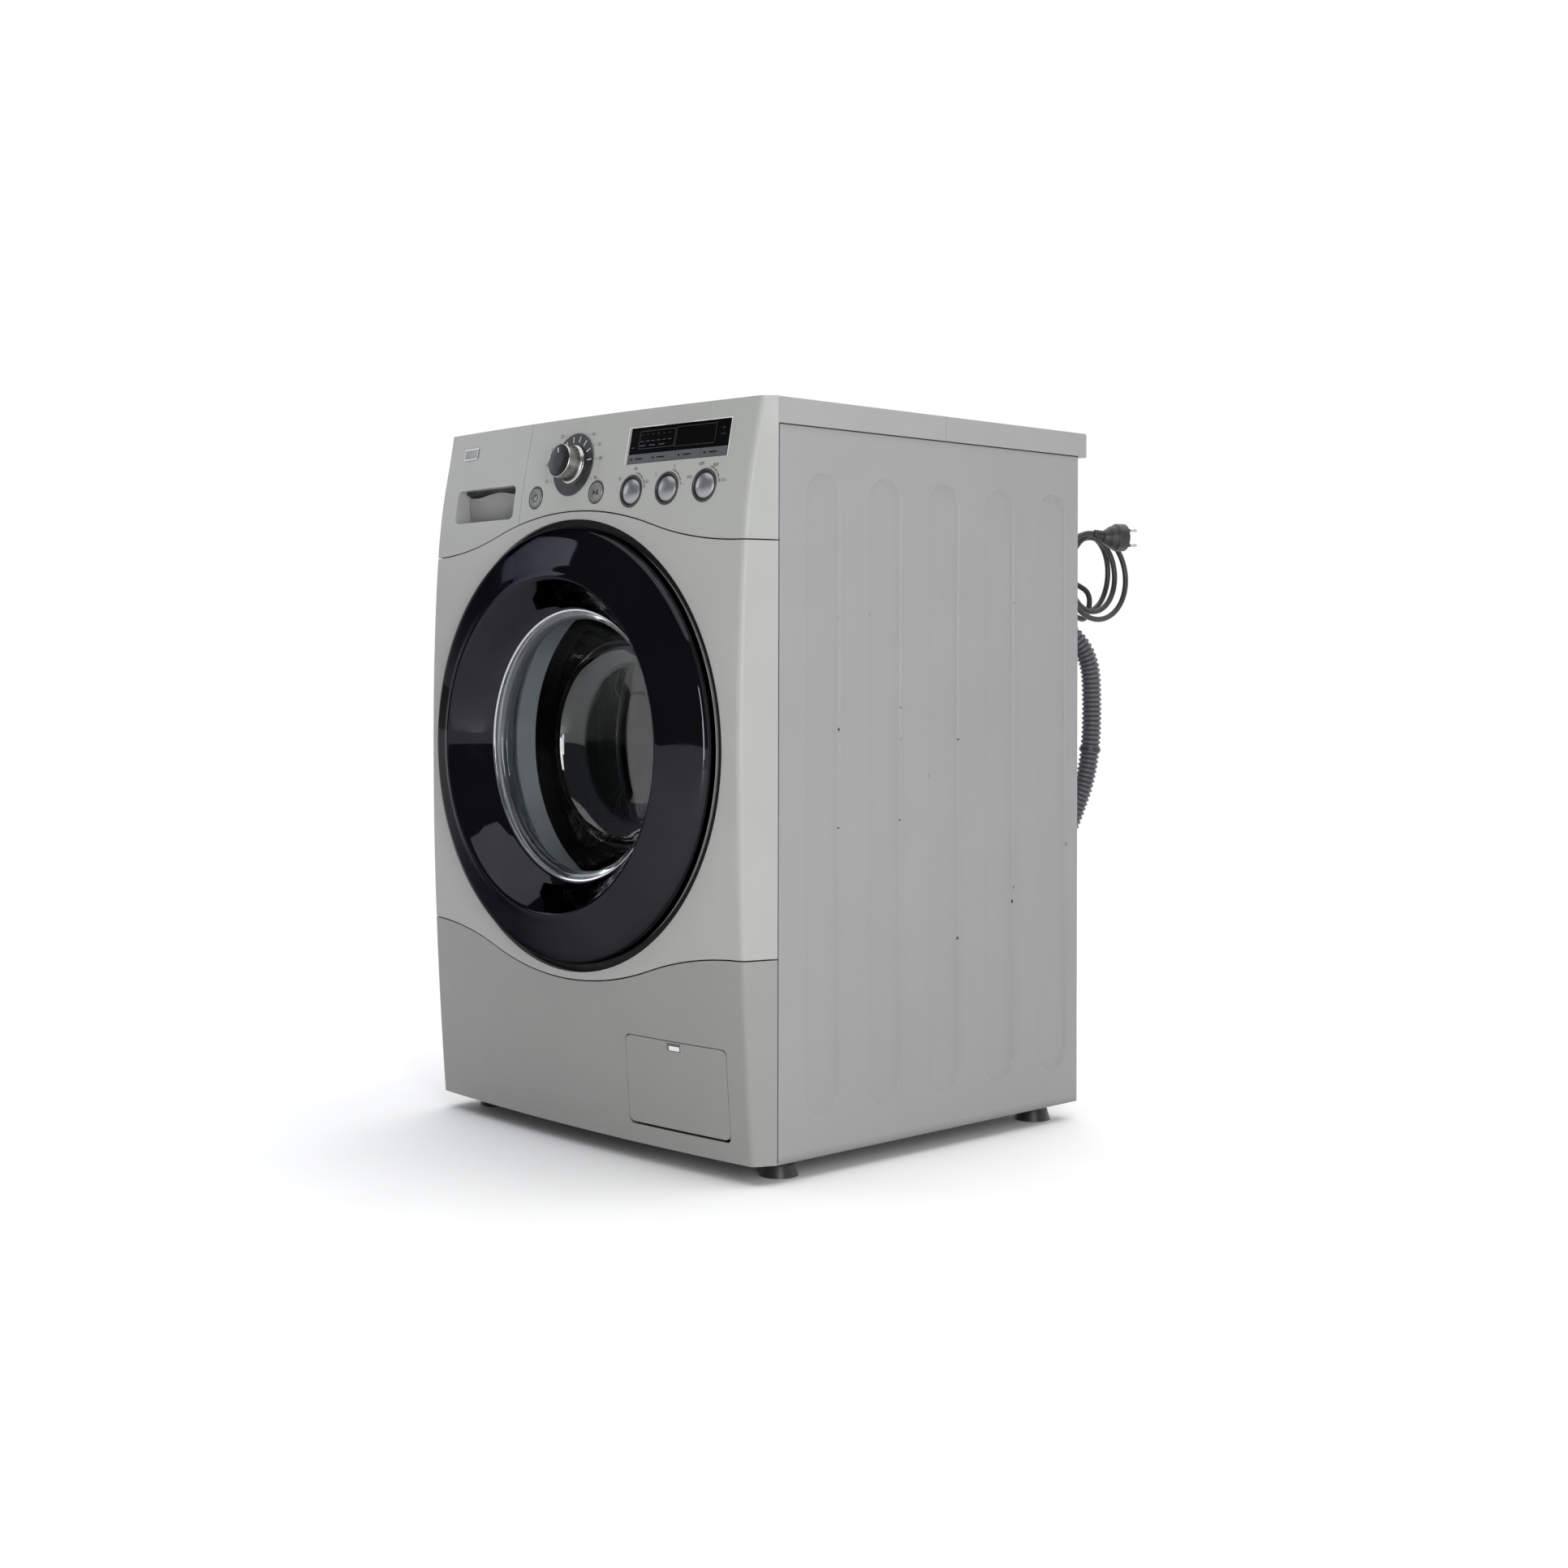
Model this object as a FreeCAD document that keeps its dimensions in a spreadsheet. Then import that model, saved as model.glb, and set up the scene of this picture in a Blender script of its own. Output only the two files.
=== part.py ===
import FreeCAD, Part
import math
import os
import re

import Sketcher
from FreeCAD import Placement, Rotation, Vector

# Front load washing machine, in millimetres. X runs to the machine's right, Y to its back,
# Z up. The part's origin is on the floor, under the middle of the object without its cords.
# Every sub-part is drawn from the seam plane, the front edge of the cabinet's sides, and its
# Placement then moves it back by FRONT_Y. Cords are drawn in the part's own frame.

SIZES = {
    # overall
    "cabinet_width": 600, "cabinet_depth": 512, "cabinet_top": 850, "top_overhang": 18,
    "door_proud": 86, "foot_height": 22, "steel": 1.2, "plastic": 3, "part_gap": 0.4,
    # bowed front: how far it stands forward of the seam plane
    "ridge_inset": 12, "ridge_round": 8, "bow": 13.5, "belly_proud": 45.5, "belly_height": 480,
    "belly_low_radius": 5127, "belly_high_radius": 3500, "console_foot": 660,
    "console_lean": 0.0514, "console_radius": 1055,
    # the two waved seams of the front
    "seam_gap": 1.5, "upper_seam_end": 694.5, "upper_seam_rise": 44, "lower_seam_end": 243.5,
    "lower_seam_rise": -47.5,
    # top
    "top_thick": 29.5, "top_rail": 15, "top_joint": 267, "board_thick": 20,
    # side ribs
    "rib_width": 53.4, "rib_pitch": 98.4, "rib_start": 41.7, "rib_bottom": 65, "rib_top": 771,
    "rib_depth": 1.5, "rib_count": 5,
    # door and its trough
    "door_height": 467, "trough_radius": 262, "trough_floor": 40, "opening_radius": 177,
    "ring_radius": 253, "ring_front_radius": 192, "glass_radius": 165, "sight_radius": 157,
    "bowl_radius": 153, "bowl_depth": 58, "glass_thick": 4, "hinge_x": 257, "hinge_y": 50,
    "hinge_pin": 1.75, "knuckle_radius": 3.1, "knuckle_half": 14, "pin_clearance": 0.05,
    "latch_x": 222,
    # tub, drum and drive
    "tub_radius": 262, "tub_wall": 4, "tub_front_y": 28, "tub_joint_y": 230, "tub_back_y": 430,
    "neck_radius": 176, "drum_radius": 244, "drum_front_y": 45, "drum_back_y": 372,
    "drum_mouth": 165, "drum_steel": 1.2, "lifter_height": 38, "lifter_count": 3,
    "shaft_radius": 15, "shaft_tail": 12.5, "shaft_end_y": 492, "front_bearing_y": 402,
    "rear_bearing_y": 440, "rotor_radius": 146, "rotor_back_y": 482, "tooth_count": 24,
    "bearing_clearance": 0.03, "weight_radius": 250, "weight_thick": 26,
    "spring_x": 275, "spring_y": 215, "spring_radius": 10, "spring_wire": 1.6,
    "spring_bottom": 655, "spring_top": 765, "damper_x": 150, "damper_radius": 15,
    # dispenser drawer
    "drawer_seam_x": -103.5, "tray_left": -262, "tray_right": -108, "tray_bottom": 739,
    "tray_top": 812, "tray_depth": 250, "grip_left": -250, "grip_right": -119,
    "grip_bottom": 736, "grip_top": 777, "grip_depth": 24,
    # console
    "display_left": 87, "display_right": 250, "display_bottom": 787, "display_top": 829,
    "key_top": 798.6, "key_gap": 0.6, "dial_x": -9, "dial_z": 794, "knob_radius": 21,
    "knob_proud": 22, "round_radius": 12.2, "round_z": 758.6, "power_x": -74.3, "start_x": 41,
    "dome_radius": 17.5, "dome_z": 756, "dome_x": 103, "dome_pitch": 59,
    # filter hatch and pump
    "hatch_left": 99, "hatch_right": 258, "hatch_bottom": 46, "hatch_top": 144, "hatch_gap": 0.8,
    "hatch_low_gap": 2.8, "hatch_round": 8, "hatch_corner_relief": 2, "filter_x": 182,
    "filter_z": 92, "filter_radius": 24,
    # feet and rear
    "foot_x": 262, "foot_front_y": 38, "foot_back_y": 470, "foot_radius": 22, "stem_radius": 5,
    "screw_head": 4.5, "screw_shank": 2, "screw_inset": 11, "cap_radius": 19, "gland_x": 150,
    "gland_z": 700,
    "inlet_radius": 13.2, "spigot_length": 14, "inlet_x": -205, "inlet_z": 765,
    # cords
    "hose_diameter": 25, "cord_diameter": 7, "coil_radius": 58, "coil_thick": 10,
}

FRONT_Y = "(door_proud - cabinet_depth - top_overhang) / 2"
REAR_IN = "(cabinet_depth - steel)"

doc = FreeCAD.newDocument("washing_machine")
sheet = doc.addObject("Spreadsheet::Sheet", "Sizes")
for row, (alias, value) in enumerate(SIZES.items(), start=1):
    sheet.set(f"A{row}", str(value))
    sheet.setAlias(f"A{row}", alias)
doc.recompute()

NODES = []


class SheetValues:
    """Reads a size from the sheet: S.steel is the value of the cell named steel."""

    def __getattr__(self, alias):
        return float(sheet.get(alias))


S = SheetValues()
S_FRONT_Y = (S.door_proud - S.cabinet_depth - S.top_overhang) / 2
HALF = S.cabinet_width / 2


def formula(text):
    """Turns sheet names into references to the sheet's cells."""
    return re.sub(r"[a-z_]+", lambda m: f"Sizes.{m[0]}" if m[0] in SIZES else m[0], str(text))


def bind(obj, **sizes):
    for prop, text in sizes.items():
        obj.setExpression(prop, formula(text))


def place(obj, start, turn=None):
    if turn is not None:
        obj.Placement = Placement(Vector(), turn)
    for axis, text in zip("xyz", start):
        obj.setExpression(f".Placement.Base.{axis}", formula(text))


TURN = {
    "x": Rotation(Vector(0, 1, 0), 90),
    "y": Rotation(Vector(1, 0, 0), -90),
    "z": Rotation(),
    "-y": Rotation(Vector(1, 0, 0), 90),
}


def box(name, start, extent):
    obj = doc.addObject("Part::Box", name)
    bind(obj, Length=extent[0], Width=extent[1], Height=extent[2])
    place(obj, start)
    return obj


def rod(name, start, radius, length, axis="z"):
    obj = doc.addObject("Part::Cylinder", name)
    bind(obj, Radius=radius, Height=length)
    place(obj, start, TURN[axis])
    return obj


def cone(name, start, radius, end_radius, length, axis="z"):
    obj = doc.addObject("Part::Cone", name)
    bind(obj, Radius1=radius, Radius2=end_radius, Height=length)
    place(obj, start, TURN[axis])
    return obj


def cut(name, base, *tools):
    obj = doc.addObject("Part::Cut", name)
    obj.Base = base
    obj.Tool = tools[0] if len(tools) == 1 else fuse(f"{name}_tools", *tools)
    return obj


def fuse(name, *parts):
    obj = doc.addObject("Part::MultiFuse", name)
    obj.Shapes = list(parts)
    obj.Refine = True
    return obj


def common(name, *parts):
    obj = doc.addObject("Part::MultiCommon", name)
    obj.Shapes = list(parts)
    return obj


def group(name, *parts):
    obj = doc.addObject("Part::Compound", name)
    obj.Links = list(parts)
    return obj


def tube(name, start, radius, bore, length, axis="z"):
    outer = rod(f"{name}_outside", start, radius, length, axis)
    inner = rod(f"{name}_bore", start, bore, length, axis)
    return cut(name, outer, inner)


def feature(name, shape):
    obj = doc.addObject("Part::Feature", name)
    obj.Shape = shape
    return obj


def outline(body, name, points, plane="XZ_Plane"):
    """A closed sketch of straight lines whose corners are bound to the sheet."""
    sketch = body.newObject("Sketcher::SketchObject", name)
    origin = next(f for f in body.Origin.OriginFeatures if f.Role == plane)
    sketch.AttachmentSupport = [(origin, "")]
    sketch.MapMode = "FlatFace"
    scratch = doc.addObject("App::FeaturePython", "Corners")
    scratch.addProperty("App::PropertyFloat", "Value")
    corners = []
    for pair in points:
        corner = []
        for text in pair:
            scratch.setExpression("Value", formula(text))
            scratch.recompute()
            corner.append(scratch.Value)
        corners.append(corner)
    doc.removeObject(scratch.Name)
    count = len(corners)
    for i, (u, v) in enumerate(corners):
        next_u, next_v = corners[(i + 1) % count]
        sketch.addGeometry(Part.LineSegment(Vector(u, v, 0), Vector(next_u, next_v, 0)), False)
    for i in range(count):
        sketch.addConstraint(Sketcher.Constraint("Coincident", i, 2, (i + 1) % count, 1))
    for i, (pair, corner) in enumerate(zip(points, corners)):
        for kind, text, value in zip(("DistanceX", "DistanceY"), pair, corner):
            index = sketch.addConstraint(Sketcher.Constraint(kind, -1, 1, i, 1, value))
            sketch.setExpression(f"Constraints[{index}]", formula(text))
    return sketch


def revolved(name, points, centre=(0, 0, "door_height")):
    """A body turned about an axis along Y. Each point is (radius, y)."""
    body = doc.addObject("PartDesign::Body", name)
    sketch = outline(body, f"{name}_profile", points)
    turn = body.newObject("PartDesign::Revolution", f"{name}_revolution")
    turn.Profile = sketch
    turn.ReferenceAxis = (sketch, ["V_Axis"])
    turn.Angle = 360
    place(body, centre, TURN["y"])
    return body


def prism(name, points, start, length, axis="y"):
    """A body padded from a closed outline along the axis that the placement gives it."""
    body = doc.addObject("PartDesign::Body", name)
    sketch = outline(body, f"{name}_profile", points, "XY_Plane")
    pad = body.newObject("PartDesign::Pad", f"{name}_pad")
    pad.Profile = sketch
    bind(pad, Length=length)
    place(body, start, TURN[axis])
    return body


def publish(obj, label):
    """Names a sub-part and moves it from the seam plane's frame to the part's frame."""
    obj.Label = label
    own_y = dict(obj.ExpressionEngine).get(".Placement.Base.y", str(obj.Placement.Base.y))
    obj.setExpression(".Placement.Base.y", f"{own_y} + {formula(FRONT_Y)}")
    NODES.append(obj)


def publish_feature(label, shape):
    """A sub-part made from Part's own functions; its Placement comes after its Shape."""
    obj = feature(label, shape)
    obj.Label = label
    obj.Placement = Placement(Vector(0, S_FRONT_Y, 0), Rotation())
    NODES.append(obj)
    return obj


# ---------------------------------------------------------------- bowed front

def ridge(height):
    """How far the front's side ridge stands forward of the seam plane at a height."""
    from_belly = height - S.belly_height
    radius = S.belly_low_radius if from_belly < 0 else S.belly_high_radius
    if height <= S.console_foot:
        return S.belly_proud - from_belly**2 / (2 * radius)
    foot = ridge(S.console_foot)
    rise = height - S.console_foot
    return foot - S.console_lean * rise - rise**2 / (2 * S.console_radius)


def front_proud(x, height):
    half = HALF - S.ridge_inset
    return ridge(height) + S.bow * (1 - (x / half) ** 2)


def front_inward(x, height):
    """The direction square to the front's face, into the machine."""
    half = HALF - S.ridge_inset
    across = -2 * S.bow * x / half**2
    upward = (ridge(height + 1) - ridge(height - 1)) / 2
    return Vector(across, 1, upward).normalize()


def front_section(height, inset):
    side = HALF - inset
    half = HALF - S.ridge_inset - 0.8 * inset
    proud = ridge(height) - inset
    back = 1 if inset else 0
    right, left = Vector(side, back, height), Vector(-side, back, height)
    near_right, near_left = Vector(half, -proud, height), Vector(-half, -proud, height)
    middle = Vector(0, -proud - S.bow, height)
    edges = [
        Part.LineSegment(right, near_right).toShape(),
        Part.Arc(near_right, middle, near_left).toShape(),
        Part.LineSegment(near_left, left).toShape(),
        Part.LineSegment(left, right).toShape(),
    ]
    return Part.Wire(edges)


def front_block(inset, top_inset=0):
    """The whole front as a solid, drawn in by inset from its outer face."""
    sections = 11
    low = S.foot_height - (1 if inset else 0)
    high = S.cabinet_top - top_inset
    step = (high - low) / (sections - 1)
    wires = [front_section(low + i * step, inset) for i in range(sections)]
    return Part.makeLoft(wires, True, False)


def rounded_front():
    block = front_block(0)
    half = HALF - S.ridge_inset
    upright = [
        e for e in block.Edges
        if e.BoundBox.ZLength > 0.9 * (S.cabinet_top - S.foot_height)
        and abs(abs(e.CenterOfMass.x) - half) < 1
    ]
    return block.makeFillet(S.ridge_round, upright)


def seam_slab(end_height, rise):
    """The gap of a waved seam: two equal tangent arcs each side of the middle."""
    half = HALF - S.ridge_inset
    radius = (half**2 / abs(rise) + abs(rise)) / 4
    sign = math.copysign(1, rise)
    turn = math.asin(half / 2 / radius)
    run = radius * math.sin(turn / 2)
    lift = sign * radius * (1 - math.cos(turn / 2))
    outside = HALF + 5

    def wave(offset):
        low = end_height + offset
        high = low + rise
        middle = low + rise / 2
        points = [
            (-outside, low), (-half, low), (-half + run, low + lift), (-half / 2, middle),
            (-run, high - lift), (0, high), (run, high - lift), (half / 2, middle),
            (half - run, low + lift), (half, low), (outside, low),
        ]
        points = [Vector(x, -100, z) for x, z in points]
        arcs = [Part.Arc(*points[i:i + 3]).toShape() for i in (1, 3, 5, 7)]
        ends = [Part.LineSegment(*points[i:i + 2]).toShape() for i in (0, 9)]
        return [ends[0], *arcs, ends[1]]

    low_edge = wave(-S.seam_gap / 2)
    high_edge = wave(S.seam_gap / 2)
    sides = []
    for x in (-outside, outside):
        low = Vector(x, -100, end_height - S.seam_gap / 2)
        high = Vector(x, -100, end_height + S.seam_gap / 2)
        sides.append(Part.LineSegment(low, high).toShape())
    wire = Part.Wire(Part.__sortEdges__(low_edge + high_edge + sides))
    return Part.Face(wire).extrude(Vector(0, 120, 0))


FRONT_OUT = rounded_front()
FRONT_IN = front_block(S.plastic, S.plastic)
shell = FRONT_OUT.cut(FRONT_IN)
shell = shell.cut(seam_slab(S.upper_seam_end, S.upper_seam_rise))
shell = shell.cut(seam_slab(S.lower_seam_end, S.lower_seam_rise))
kick_shape, front_shape, console_shape = sorted(shell.Solids, key=lambda s: s.CenterOfMass.z)
drawer_slab = Part.makeBox(0.8, 130, 300, Vector(S.drawer_seam_x - 0.4, -120, 600))
halves = sorted(console_shape.cut(drawer_slab).Solids, key=lambda s: s.CenterOfMass.x)
drawer_shape, console_shape = halves


def front_layer(outer, inner):
    """The part of the front between two depths, to be trimmed to a window or a key."""
    deep = front_block(inner, inner)
    return (front_block(outer, outer) if outer else FRONT_OUT).cut(deep)


def on_front(obj, x, height, sink=0):
    """Seats a turned body on the console: its axis is square to the face, y=0 on the face."""
    inward = front_inward(x, height)
    start = Vector(x, -front_proud(x, height), height) + inward * sink
    obj.Placement = Placement(start, Rotation(Vector(0, 0, 1), inward))


def seated(name, points, x, height):
    """A turned body seated on the console."""
    body = doc.addObject("PartDesign::Body", name)
    sketch = outline(body, f"{name}_profile", points)
    turn = body.newObject("PartDesign::Revolution", f"{name}_revolution")
    turn.Profile = sketch
    turn.ReferenceAxis = (sketch, ["V_Axis"])
    turn.Angle = 360
    on_front(body, x, height)
    return body


def seated_hole(name, radius, x, height, depth=12):
    obj = doc.addObject("Part::Cylinder", name)
    bind(obj, Radius=radius, Height=depth * 2)
    on_front(obj, x, height, -depth)
    return obj


# ---------------------------------------------------------------- casing

def make_cabinet():
    inside = "cabinet_width - 2 * steel"
    side_height = "cabinet_top - top_thick - foot_height"
    outer = box("wrap_outside", ("-cabinet_width / 2", 0, "foot_height"),
                ("cabinet_width", REAR_IN, side_height))
    hollow = box("wrap_hollow", ("-cabinet_width / 2 + steel", "steel", "foot_height - 1"),
                 (inside, "cabinet_depth - 3 * steel", f"{side_height} + 2"))
    mouth = box("wrap_mouth", ("-cabinet_width / 2 + 14", -1, "foot_height - 1"),
                ("cabinet_width - 28", "steel + 2", f"{side_height} + 2"))
    back = box("wrap_back", ("-cabinet_width / 2 + 22", f"{REAR_IN} - steel - 1", "foot_height - 1"),
               ("cabinet_width - 44", "steel + 2", f"{side_height} + 2"))
    bosses, grooves = [], []
    for side in (-1, 1):
        for i in range(int(S.rib_count)):
            start_y = f"rib_start + {i} * rib_pitch"
            face = f"{side} * (cabinet_width / 2 - rib_depth / 2)"
            grooves.append(rib(f"groove_{side}_{i}", face, start_y, "rib_depth", 0))
            inner = f"{side} * (cabinet_width / 2 - steel - rib_depth / 2)"
            bosses.append(rib(f"boss_{side}_{i}", inner, start_y, "rib_depth", "steel"))
    hooks = []
    for name, x in (("hook_left", "-cabinet_width / 2 + steel / 2"), ("hook_right", "spring_x - 6")):
        hooks.append(box(name, (x, "spring_y - 12", "spring_top + 2.2"),
                         ("cabinet_width / 2 - spring_x + 6 - steel / 2", 24, 3)))
    wrap = fuse("wrap_solid", cut("wrap_sheet", outer, hollow, mouth, back), *bosses, *hooks)
    screw_holes = [rod(f"wrap_screw_hole_{i}", (x, "cabinet_depth - 20", z), "screw_shank", 30, "y")
                   for i, (x, z) in enumerate(REAR_SCREWS)]
    publish(cut("cabinet_wrap", wrap, *grooves, *screw_holes), "cabinet_wrap")

    plate = box("rear_plate", ("-cabinet_width / 2 + 2", REAR_IN, 40),
                ("cabinet_width - 4", "steel", "cabinet_top - top_thick - 44"))
    holes = [rod(f"cap_hole_{i}", (x, "cabinet_depth - 10", z), "cap_radius - 3", 20, "y")
             for i, (x, z) in enumerate(CAP_PLACES)]
    holes += [rod(f"rear_screw_hole_{i}", (x, "cabinet_depth - 10", z), "screw_shank", 20, "y")
              for i, (x, z) in enumerate(REAR_SCREWS)]
    holes.append(rod("inlet_hole", ("inlet_x", "cabinet_depth - 10", "inlet_z"), "inlet_radius + 1",
                     20, "y"))
    holes.append(rod("gland_hole", ("gland_x", "cabinet_depth - 10", "gland_z"), 8, 20, "y"))
    holes.append(rod("outlet_hole", (HOSE_X, "cabinet_depth - 10", HOSE_EXIT_Z), 9.6, 20, "y"))
    publish(cut("rear_cover", plate, *holes), "rear_cover")

    screws = []
    for i, (x, z) in enumerate(REAR_SCREWS):
        head = rod(f"screw_head_{i}", (x, "cabinet_depth", z), "screw_head", 2.4, "y")
        shank = rod(f"screw_shank_{i}", (x, f"{REAR_IN} - 8", z), "screw_shank - 0.05",
                    "steel + 9", "y")
        screws.append(fuse(f"screw_{i}", head, shank))
    publish(group("cover_screws", *screws), "cover_screws")

    caps = []
    for i, (x, z) in enumerate(CAP_PLACES):
        disc = cone(f"cap_disc_{i}", (x, "cabinet_depth", z), "cap_radius", "cap_radius - 2", 3, "y")
        plug = tube(f"cap_plug_{i}", (x, f"{REAR_IN} - 6", z), "cap_radius - 3.2", "cap_radius - 5",
                    "steel + 6.5", "y")
        caps.append(fuse(f"cap_{i}", disc, plug))
    publish(group("transit_bolt_caps", *caps), "transit_bolt_caps")


def rib(name, face_x, start_y, depth, grow):
    """A pressed rib with round ends, centred on face_x."""
    wide = f"(rib_width + 2 * {grow})"
    radius = f"{wide} / 2"
    middle_y = f"{start_y} + rib_width / 2"
    left = f"{face_x} - {depth} / 2"
    low, high = f"rib_bottom + rib_width / 2", f"rib_top - rib_width / 2"
    bar = box(f"{name}_bar", (left, f"{middle_y} - {radius}", low),
              (depth, wide, "rib_top - rib_bottom - rib_width"))
    foot = rod(f"{name}_foot", (left, middle_y, low), radius, depth, "x")
    head = rod(f"{name}_head", (left, middle_y, high), radius, depth, "x")
    return fuse(name, bar, foot, head)


CAP_PLACES = [(-175, 330), (175, 330), (-120, 640), (120, 640)]
REAR_SCREWS = [(f"{side} * (cabinet_width / 2 - screw_inset)", z) for side in (-1, 1)
               for z in ("foot_height + 38", 300, 540, "cabinet_top - 60")]
HOSE_X = 250
HOSE_EXIT_Z = 90


def make_base():
    pan = box("pan_outside", ("-cabinet_width / 2 + steel + 0.3", 4, "foot_height"),
              ("cabinet_width - 2 * steel - 0.6", "cabinet_depth - 12", 26))
    hollow = box("pan_hollow", ("-cabinet_width / 2 + steel + 2.3", 6, "foot_height + 2"),
                 ("cabinet_width - 2 * steel - 4.6", "cabinet_depth - 16", 30))
    feet, holes = [], []
    for i, (side, y) in enumerate([(s, y) for s in (-1, 1) for y in ("foot_front_y", "foot_back_y")]):
        x = f"{side} * foot_x"
        pad = cone(f"foot_pad_{i}", (x, y, 0), "foot_radius", "foot_radius - 4", 13)
        nut = rod(f"foot_nut_{i}", (x, y, 13), 10, "foot_height - 13.3")
        stem = rod(f"foot_stem_{i}", (x, y, 10), "stem_radius", 42)
        feet.append(fuse(f"foot_{i}", pad, nut, stem))
        holes.append(rod(f"stem_hole_{i}", (x, y, "foot_height - 5"), "stem_radius + 0.1", 12))
    publish(cut("base_pan", pan, hollow, *holes), "base_pan")
    publish(group("levelling_feet", *feet), "levelling_feet")


def rounded(name, source, radius, pick):
    """Part::Fillet on the edges that pick chooses; the radius comes from the sheet's values."""
    doc.recompute()
    obj = doc.addObject("Part::Fillet", name)
    obj.Base = source
    chosen = [i for i, e in enumerate(source.Shape.Edges, start=1) if pick(e)]
    obj.Edges = [(i, radius, radius) for i in chosen]
    return obj


def make_top():
    low = "cabinet_top - top_thick"
    full = box("frame_outside", ("-cabinet_width / 2", 0.3, low),
               ("cabinet_width", "cabinet_depth + top_overhang - 0.3", "top_thick"))
    rear_y = S.cabinet_depth + S.top_overhang
    soft = rounded("frame_rounded", full, 6, lambda e: e.BoundBox.ZLength > 20
                   and e.CenterOfMass.y > rear_y - 1)
    eased = rounded("frame_eased", soft, 2.5, lambda e: e.BoundBox.ZLength < 0.1
                    and e.CenterOfMass.z > S.cabinet_top - 0.1 and e.CenterOfMass.y > 1)
    hole = box("frame_hole", ("-cabinet_width / 2 + top_rail", "top_rail", "cabinet_top - top_thick - 1"),
               ("cabinet_width - 2 * top_rail", "cabinet_depth + top_overhang - 2 * top_rail",
                "top_thick + 2"))
    slot = box("frame_joint", ("-cabinet_width / 2 - 1", "top_joint - 0.2", f"{low} - 1"),
               ("cabinet_width + 2", 0.4, "top_thick + 2"))
    publish(cut("top_frame", eased, hole, slot), "top_frame")
    board = box("top_board", ("-cabinet_width / 2 + top_rail + 0.3", "top_rail + 0.3",
                              "cabinet_top - 1 - board_thick"),
                ("cabinet_width - 2 * top_rail - 0.6",
                 "cabinet_depth + top_overhang - 2 * top_rail - 0.6", "board_thick"))
    publish(board, "top_board")


# ---------------------------------------------------------------- front

def make_front_panel():
    wall = "plastic"
    hole = rod("trough_hole", (0, -120, "door_height"), "trough_radius", 150, "y")
    skin = cut("front_skin", feature("front_shell", front_shape), hole)
    dish = revolved("trough", [
        ("trough_radius", -80), (f"trough_radius + {wall}", -80),
        (f"trough_radius + {wall}", f"-trough_floor + {wall}"),
        ("opening_radius + 24", f"-trough_floor + {wall}"),
        (f"opening_radius + {wall}", -26), (f"opening_radius + {wall}", -14),
        ("opening_radius", -14), ("opening_radius", -28),
        ("opening_radius + 22", "-trough_floor"), ("trough_radius", "-trough_floor"),
    ])
    trimmed = common("trough_trimmed", dish, feature("front_solid", FRONT_OUT))
    slot = box("latch_slot", ("latch_x - 12", "-trough_floor - 1", "door_height - 9"), (24, 8, 18))
    publish(cut("front_panel", fuse("front_joined", skin, trimmed), slot), "front_panel")

    lock = box("lock_case", ("latch_x - 17", "-trough_floor + plastic", "door_height - 34"),
               (36, 27, 68))
    throat = box("lock_throat", ("latch_x - 13", "-trough_floor", "door_height - 10"), (26, 24, 20))
    publish(cut("door_lock", lock, throat), "door_lock")


def make_hatch():
    centre_x = (S.hatch_left + S.hatch_right) / 2
    left, right = S.hatch_left, S.hatch_right
    low, high = S.hatch_bottom, S.hatch_top

    def panel(grow, low_grow, corner):
        block = Part.makeBox(right - left + 2 * grow, 140, high - low + grow + low_grow,
                             Vector(left - grow, -100, low - low_grow))
        along = [e for e in block.Edges if e.BoundBox.YLength > 130]
        return block.makeFillet(corner, along)

    opening = panel(S.hatch_gap, S.hatch_low_gap, S.hatch_round - S.hatch_corner_relief)
    ears = []
    for x in (left - S.hatch_gap - 5, right + S.hatch_gap):
        ears.append(Part.makeBox(5, 60, 24, Vector(x, -60, low - 10)))
    bay_left, bay_right = left - 7, right + 7
    bay = Part.makeBox(bay_right - bay_left, 54, 118, Vector(bay_left, -40, low - 8))
    bay_inside = Part.makeBox(bay_right - bay_left - 4, 52, 114, Vector(bay_left + 2, -42, low - 6))
    bay_shape = bay.cut(bay_inside)
    neck_hole = Part.makeCylinder(S.filter_radius + 3.4, 60, Vector(S.filter_x, -20, S.filter_z),
                                  Vector(0, 1, 0))
    behind = front_block(S.plastic / 2, S.plastic / 2)
    ear_shape = ears[0].fuse(ears[1]).common(front_layer(S.plastic / 2, 11))
    body = kick_shape.fuse([bay_shape.common(behind), ear_shape]).cut([opening, neck_hole])
    pivot_left, pivot_right = hatch_pivot(left), hatch_pivot(right)
    along = (pivot_right - pivot_left).normalize()
    reach = 4
    start = pivot_left - along * (S.hatch_gap + reach)
    length = (pivot_right - pivot_left).Length + 2 * (S.hatch_gap + reach)
    bore = Part.makeCylinder(1.25, length + 1, start - along * 0.5, along)
    publish_feature("kick_panel", largest(body.cut(bore)))

    plate = panel(0, 0, S.hatch_round).common(front_layer(0, S.plastic))
    pin = Part.makeCylinder(1.2, length, start, along)
    trim = Part.makeBox(length, 20, 8, Vector(left, -45, low))
    lip = trim.common(front_layer(1, 5)).common(panel(0, 0, S.hatch_round))
    tab = Part.makeBox(24, 60, 10, Vector(centre_x - 12, -60, high - 12))
    thumb = tab.common(front_layer(S.plastic - 0.5, 5.5))
    publish_feature("filter_hatch", plate.fuse([pin, lip, thumb]).removeSplitter())


def largest(shape):
    return max(shape.Solids, key=lambda s: s.Volume)


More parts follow.
